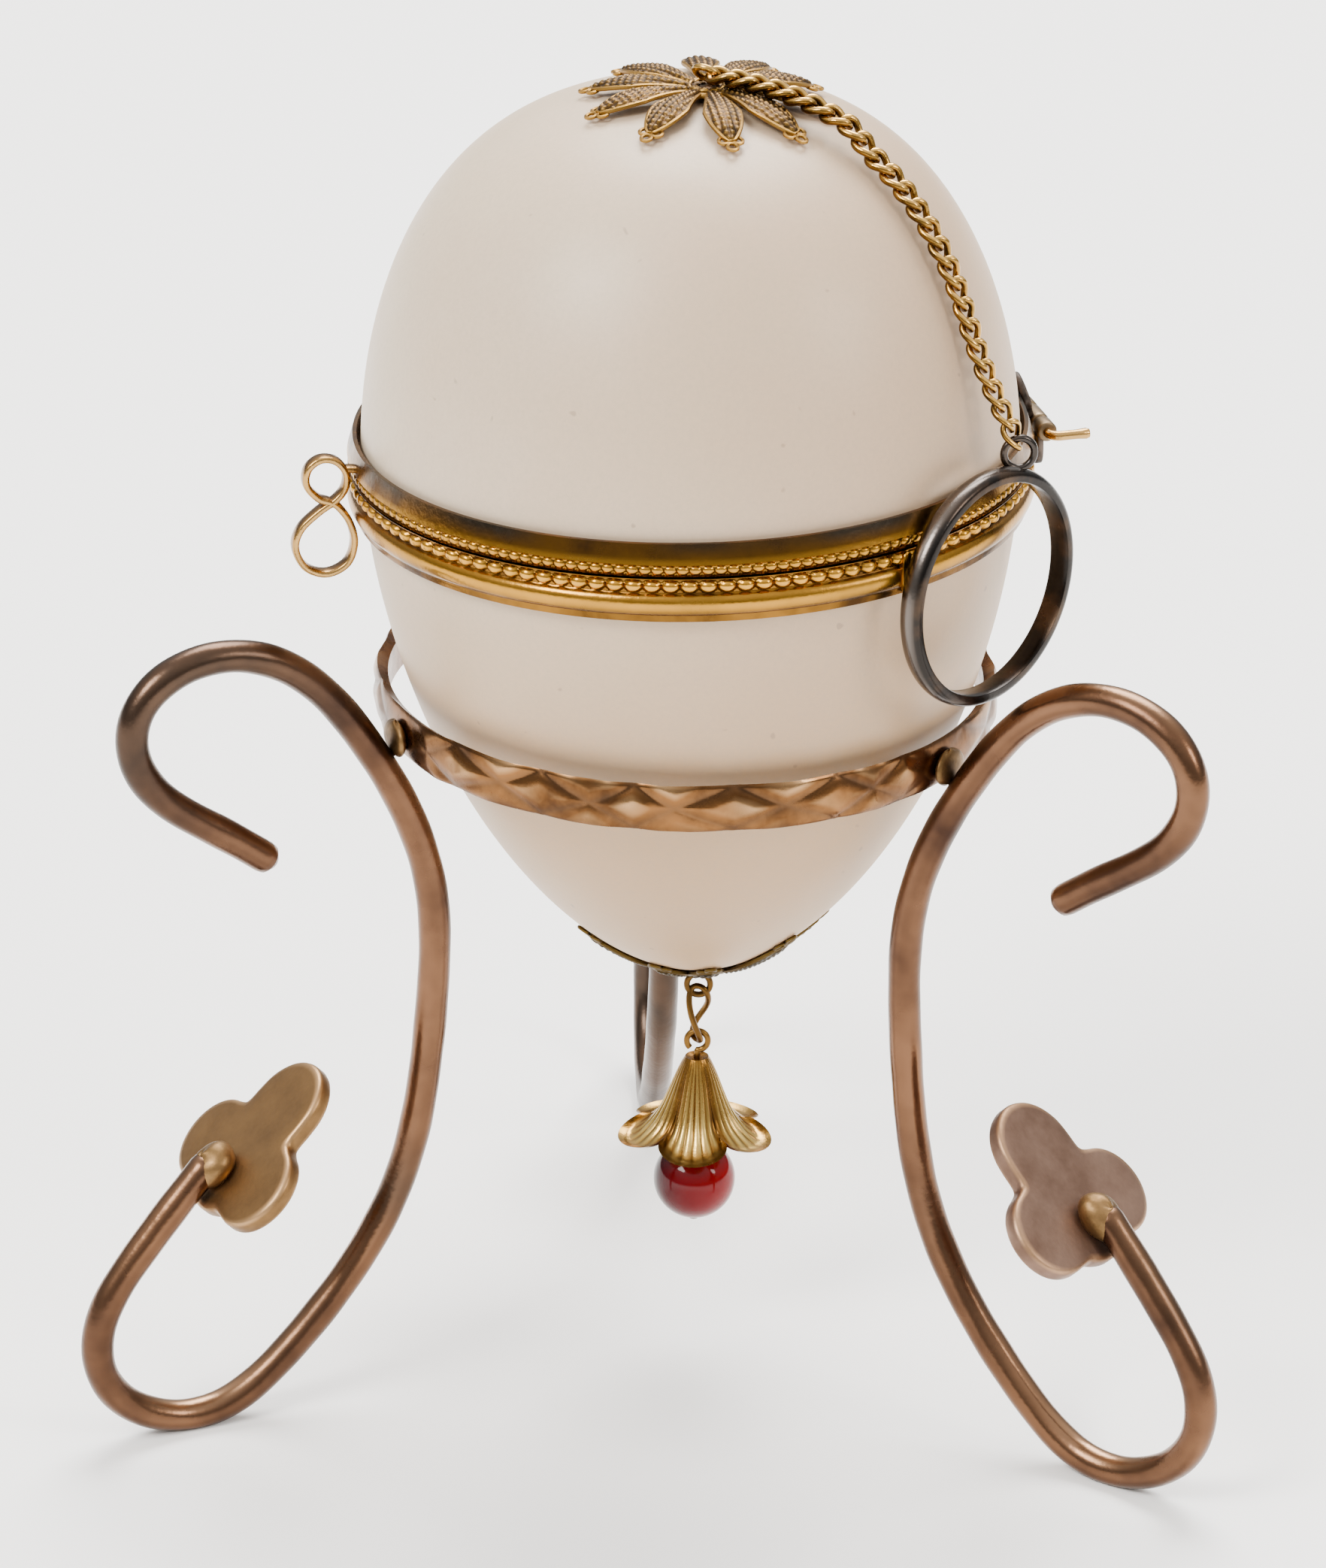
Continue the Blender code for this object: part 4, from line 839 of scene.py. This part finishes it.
def bell_wall(inset):
    """Points of the bell's outer or inner face, and how far each stands out.

    The radius flares with the share down and its fifth power, draws in between petals, and carries
    flutes. The lips of the petals turn up and outwards, and their middles hang lower.
    """
    share = np.linspace(0, 1, 44)[:, None]
    angle = np.linspace(0, 2 * math.pi, 360, endpoint=False)[None, :]
    petal = BELL_PETALS * (angle - BELL_TURN)
    lobe = np.abs(np.cos(petal / 2)) ** 0.6
    ribs = np.abs(np.sin(petal * 3.5)) * lobe ** 0.5 * np.clip((0.96 - share) / 0.16, 0, 1)
    hole = WIRE_RADIUS + 0.3 + BELL_WALL
    flare = 0.52 * share ** 0.75 + 0.48 * share ** 5
    radius = hole + (BELL_RADIUS - hole) * flare * (1 - 0.34 * (1 - lobe) * share ** 0.8)
    radius = radius + 0.24 * ribs * share ** 0.6 - inset
    height = bell_top - BELL_HEIGHT * share ** 0.85 * (1 - 0.22 * (1 - lobe) * share ** 3)
    height = height + 0.9 * (np.clip(share - 0.88, 0, 1) / 0.12) ** 2 * lobe - inset * 0.4
    points = np.stack([radius * np.cos(angle), radius * np.sin(angle), height + 0 * angle], axis=2)
    painted_light_and_wear = np.clip(0.8 * ribs * lobe * share ** 0.6, 0, 1) - 0.3 * (1 - lobe) ** 2 + 0.2 * share ** 9
    return np.concatenate([points + loop_middle, painted_light_and_wear[..., None]], axis=2)


bell_outer, bell_inner = bell_wall(0.0), bell_wall(BELL_WALL)
bell_inner[..., 3] *= 0.2
piece("bell_blossom", [wrap(np.vstack([bell_outer, bell_inner[::-1]]), closed=True)], BELL_GILT, "root",
      ["bell_flower"])

# Ruby glass: clear deep red, fire-polished, painted from near black at the left to red at the right as
# painted shade and painted light passing through it.
RUBY, tree, shader = finish_of("ruby_glass_polished")
where = add(tree, "ShaderNodeTexCoord").outputs["Object"]
left_to_right = add(tree, "ShaderNodeSeparateXYZ", {"Vector": where}).outputs["X"]
# Painted light and shade: near black at the left, red at the right.
tone = mixed(tree, ranged(tree, left_to_right, 0.0005, 0.0078), "#2A040A", "#860810")
tree.links.new(tone, shader.inputs["Base Color"])
gloss = ranged(tree, noise(tree, where, 5.0, 2.0), 0, 1, 0.05, 0.14)
tree.links.new(gloss, shader.inputs["Roughness"])
shader.inputs["Transmission Weight"].default_value = 0.12
shader.inputs["IOR"].default_value = 1.3
BEAD_RADIUS = 3.9
BEAD_BORE = 0.6
bead_height = bell_top - BELL_HEIGHT - BEAD_RADIUS
bore_angle = math.asin(BEAD_BORE / BEAD_RADIUS)
angle = np.linspace(bore_angle, math.pi - bore_angle, 40)[:, None]
bead_line = np.hstack([BEAD_RADIUS * np.sin(angle), bead_height + BEAD_RADIUS * np.cos(angle)])
hole_line = [(BEAD_BORE - 0.05, bead_line[-1, 1] + 0.2), (BEAD_BORE - 0.05, bead_line[0, 1] - 0.2)]
bead = loop_middle + turned(np.vstack([bead_line, hole_line]), 64)
piece("ruby_drop", [wrap(bead, closed=True)], RUBY, "root", ["ruby_bead"])

turn = np.radians(np.linspace(-90, 225, 30))
eye = np.stack([np.cos(turn), 0 * turn, eye_height + np.sin(turn)], axis=1)
foot = bead_height - BEAD_RADIUS - 0.45
stem = np.stack([np.zeros(30), np.zeros(30), np.linspace(foot, eye_height - 1.05, 30)], axis=1)
swell = np.ones(60)
swell[:3] = (0.9, 1.8, 1.5)
stem[:3, 2] = (foot, foot + 0.15, foot + 0.4)
pin_wire = carried(round_profile(WIRE_RADIUS, 10)[None] * swell[:, None, None],
                   loop_middle + np.vstack([stem, eye]), np.array((0, 1.0, 0)))
piece("drop_pin", [wrap(with_wear_and_painted_light(pin_wire, 0.4))], DARK_WIRE, "root", ["bead_pin"])


# Stand ring
# A flat strip of brass bent round the bowl and struck with crossing lines that leave raised lozenges
# about 9 mm long. It is worn copper-brown, and its raised facets are painted brighter towards the top
# of the strip, as painted highlight from above.
RING_DEPTH = 4.4
RING_THICKNESS = 1.5
LOZENGES = 20
STEPS_A_LOZENGE = 40
LOZENGE_RISE = 0.52
STAND_OUTER = (stand_high[0] - stand_low[0]) / 2
COPPER_BROWN = old_brass("patinated_brass_hammered", "#4A301B", "#7C5430", "#E2B783", 5.0, (0.2, 0.36), 1.0)
LEG_AZIMUTHS = {"left": 205.5, "right": 325, "back": 93}


def embossed_strip():
    """The strip as a turned grid: its outer wall bulges and rises in pyramids between crossing lines.

    It is left plain where a leg is soldered on. The width of a pyramid is the ring's girth by LOZENGES.

    The lines wander a little, as a hand-held block leaves them.
    """
    steps = LOZENGES * STEPS_A_LOZENGE
    half = RING_DEPTH / 2
    height = np.concatenate([np.linspace(half, -half, 26), np.linspace(-half, half, 8)[1:-1]])
    outside = np.arange(len(height)) < 26
    bulge = np.sqrt(np.clip(1 - (height / 2.35) ** 2, 0, 1))
    radius = np.where(outside, STAND_OUTER - 0.85 + 0.6 * bulge, STAND_OUTER - RING_THICKNESS + 0.1)
    points = turned(np.stack([radius, height], axis=1), steps)
    around = np.arange(steps) / STEPS_A_LOZENGE
    around = around + 0.05 * np.sin(around * 2.2) + 0.03 * np.sin(around * 5.1 + 1)
    up = height[:, None] / RING_DEPTH * 1.08
    first, second = (around + up) % 1, (around - up + 0.03 * np.sin(3 * around)) % 1
    facet = 1 - 2 * np.maximum(np.abs(first - 0.5), np.abs(second - 0.5))
    azimuth = np.degrees(np.linspace(0, 2 * math.pi, steps, endpoint=False))
    plain = np.zeros(steps)
    for at_leg in LEG_AZIMUTHS.values():
        away = np.abs((azimuth - at_leg + 180) % 360 - 180)
        plain = np.maximum(plain, np.exp(-(away / 9) ** 2))
    uneven = 0.75 + 0.25 * np.sin(around * 7.3) * np.sin(around * 2.9 + height[:, None])
    struck = (1 - plain) * outside[:, None]
    rise = LOZENGE_RISE * uneven * np.clip(facet, 0.02, 0.6) ** 0.8 * struck
    angle = np.radians(azimuth)
    points[..., 0] += rise * np.cos(angle)
    points[..., 1] += rise * np.sin(angle)
    # Painted highlight: raised facets are made brighter the higher they stand on the strip.
    painted_top_light = np.clip((height[:, None] + half) / 3.0, 0.2, 1)
    share = rise / 0.33
    painted_light_and_wear = 0.4 * share ** 3 * painted_top_light - 0.4 * (1 - share) ** 3 * struck
    return with_wear_and_painted_light(points + STAND, np.clip(painted_light_and_wear, -1, 1))


piece("embossed_ring", [wrap(embossed_strip(), closed=True)], COPPER_BROWN, "root",
      ["stand_ring"])


# Legs, leaves and solder
# Three lengths of 3 mm brass wire, each scrolled out at the top and round under its foot, soft-soldered
# to the ring. Each ends in a cast clover leaf with rounded edges, soldered under the wire's end.
LEG_RADIUS = 1.5
LEG_SCALE = 67.0
FOOT_FLAT = 0.3
LEAF_RAYS = 220
LEAF_HALF_THICKNESS = 0.9
LEAF_AHEAD_OF_WIRE = 0.96
SOLDER_HEIGHT = 66.5
# The way the legs' wire runs, outwards from the ring's wall and up from the floor, in shares of LEG_SCALE.
LEG_SHARES = [
    (0.182, 0.842), (0.275, 0.915), (0.355, 0.973), (0.385, 1.081), (0.300, 1.149), (0.187, 1.139),
    (0.097, 1.066), (0.024, 0.955), (-0.024, 0.857), (-0.056, 0.700), (-0.024, 0.390), (0.069, 0.199),
    (0.227, 0.042), (0.316, 0.020), (0.428, 0.078), (0.445, 0.194), (0.385, 0.280), (0.332, 0.350),
    (0.275, 0.412),
]
LEG_BROWN = old_brass("patinated_brass_wire", "#3C2A21", "#70503A", "#C99F78", 16.0, (0.22, 0.36), 0.6)
LEAF_BROWN = old_brass("patinated_brass_cast", "#6C5235", "#8F6D45", "#DDB384", 6.0, (0.36, 0.5), 0.5)
LEAF_PURPLE = old_brass("patinated_brass_cast_dull", "#664F42", "#8A6F5F", "#C79C6C", 6.0, (0.4, 0.55), 0.5)
SOLDER = old_brass("soft_solder_brown", "#46331F", "#74583A", "#C09A60", 2.0, (0.35, 0.55), 0.4)


def leaf_outline(count):
    """A clover's outline: the furthest reach of five overlapping discs along rays from its middle."""
    angle = np.linspace(0, 2 * math.pi, count, endpoint=False)
    ray = np.stack([np.cos(angle), np.sin(angle)], axis=1)
    reach = np.zeros(count)
    for x, y, radius in ((0, 5.1, 4.4), (0, -5.1, 4.4), (0, 0, 5.2), (3.2, 0, 4.9), (7.0, 0, 4.7)):
        along = ray @ (x, y)
        inside = radius ** 2 - (x ** 2 + y ** 2 - along ** 2)
        reach = np.maximum(reach, np.where(inside > 0, along + np.sqrt(np.clip(inside, 0, None)), 0))
    near = (np.arange(-5, 6)[:, None] + np.arange(count)) % count
    return ray * reach[near].mean(axis=0)[:, None]


def blob(middle, first, second, third, seed):
    """A lump of solder: a ball stretched along three directions, with a little unevenness."""
    chance = np.random.default_rng(seed)
    down = np.radians(np.linspace(4, 176, 18))[:, None]
    around = np.linspace(0, 2 * math.pi, 28, endpoint=False)
    size = 1.0 + 0.06 * np.sin(3 * around + chance.uniform(0, 6)) * np.sin(2 * down + chance.uniform(0, 6))
    grid = [size * np.sin(down) * np.cos(around), size * np.sin(down) * np.sin(around), size * np.cos(down)]
    return middle + sum(share[..., None] * way for share, way in zip(grid, (first, second, third)))


leg_line = eased(smooth_line(LEG_SHARES, 260) * LEG_SCALE, 7)
leg_line[:, 0] += STAND_OUTER
leg_line[:, 1] += LEG_RADIUS - FOOT_FLAT - leg_line[:, 1].min()
run = np.concatenate([[0], np.cumsum(np.linalg.norm(np.diff(leg_line, axis=0), axis=1))])
from_end = np.minimum(run, run[-1] - run)
leg_round = np.sqrt(np.clip(1 - (1 - np.clip(from_end / 1.0, 0, 1)) ** 2, 0.25, 1))
leaf_flat = leaf_outline(LEAF_RAYS)
leaf_reach = np.linalg.norm(leaf_flat, axis=1, keepdims=True)
STAND_FOOT = (STAND[0], STAND[1], 0)
# How far the scroll and a patch lower down have tarnished black, and how far the whole wire is painted
# darker as shade.
LEG_TARNISH_AND_SHADE = {"left": (0.55, 0.5, 0.0), "right": (0.1, 0.15, 0.0), "back": (0.2, 0.0, 0.55)}
for side, azimuth in LEG_AZIMUTHS.items():
    out, over = polar(1, azimuth), polar(1, azimuth + 90)
    path = leg_line[:, :1] * out + leg_line[:, 1:] * UPRIGHT + STAND_FOOT
    dents = 1 + 0.012 * np.sin(run / 1.7 + azimuth) + 0.008 * np.sin(run / 0.8)
    profile = round_profile(LEG_RADIUS, 24)[None] * (leg_round * dents)[:, None, None]
    tube = carried(profile, path, over)
    tube[..., 2] = np.maximum(tube[..., 2], 0)
    # Painted highlight: the upper side of the wire is painted brighter, as if lit from above.
    top_highlight_tarnish_and_shade = np.clip((tube[..., 2] - path[:, None, 2]) / LEG_RADIUS, 0, 1) ** 3 * 0.4
    length_share = (run / run[-1])[:, None]
    scroll = np.exp(-((length_share - 0.17) / 0.1) ** 2) * LEG_TARNISH_AND_SHADE[side][0]
    patch = np.exp(-((length_share - 0.6) / 0.025) ** 2) * LEG_TARNISH_AND_SHADE[side][1]
    # The third value darkens the whole back wire as painted shade.
    tarnish_and_shade = np.clip(scroll + patch + LEG_TARNISH_AND_SHADE[side][2], 0, 1)
    top_highlight_tarnish_and_shade = top_highlight_tarnish_and_shade * (1 - tarnish_and_shade) - tarnish_and_shade
    piece(f"scroll_wire_{side}", [wrap(with_wear_and_painted_light(tube, top_highlight_tarnish_and_shade))], LEG_BROWN, "root",
          [f"leg_{side}"])

    end, before = leg_line[-1], leg_line[-16]
    lean = math.atan2(end[1] - before[1], end[0] - before[0]) + math.radians(4)
    along = math.cos(lean) * out + math.sin(lean) * UPRIGHT
    under = np.cross(along, over)
    under = under if under[2] < 0 else -under
    leaf_middle = (path[-1] + along * LEAF_AHEAD_OF_WIRE
                   + under * (LEG_RADIUS + 0.3 + LEAF_HALF_THICKNESS))
    rows = []
    for inset, level in ((5, 1.0), (2.5, 1.0), (0.8, 1.0), (0.32, 0.93), (0.1, 0.75), (0, 0.45), (0, -0.45),
                         (0.1, -0.75), (0.32, -0.93), (0.8, -1.0), (2.5, -1.0), (5, -1.0)):
        flat = leaf_flat * (np.clip(1 - inset / leaf_reach, 0.05, 1) if inset < 5 else 0.05)
        edge_rub = 0.3 if 0.5 < abs(level) < 1 else 0.0
        rows.append(np.hstack([flat, np.tile((level * LEAF_HALF_THICKNESS, edge_rub), (LEAF_RAYS, 1))]))
    grid = np.array(rows)
    leaf = leaf_middle + grid[..., :1] * along + grid[..., 1:2] * over - grid[..., 2:3] * under
    leaf = np.concatenate([leaf, grid[..., 3:]], axis=2)
    leaf_finish = LEAF_PURPLE if side == "right" else LEAF_BROWN
    piece(f"clover_leaf_{side}", [wrap(leaf)], leaf_finish, "root", [f"leaf_{side}"])

    on_leaf = path[-1] + under * 0.55 - along * 0.5
    joint_lump = blob(on_leaf, along * 2.5, over * 1.95, under * 1.75, 3)
    at_ring = polar(STAND_OUTER + 0.2, azimuth, SOLDER_HEIGHT) + STAND_FOOT
    ring_lump = blob(at_ring, out * 0.7, over * 2.1, UPRIGHT * 1.7, 5)
    piece(f"solder_{side}", [wrap(with_wear_and_painted_light(joint_lump, 0.15)), wrap(with_wear_and_painted_light(ring_lump, 0.1))], SOLDER,
          "root")
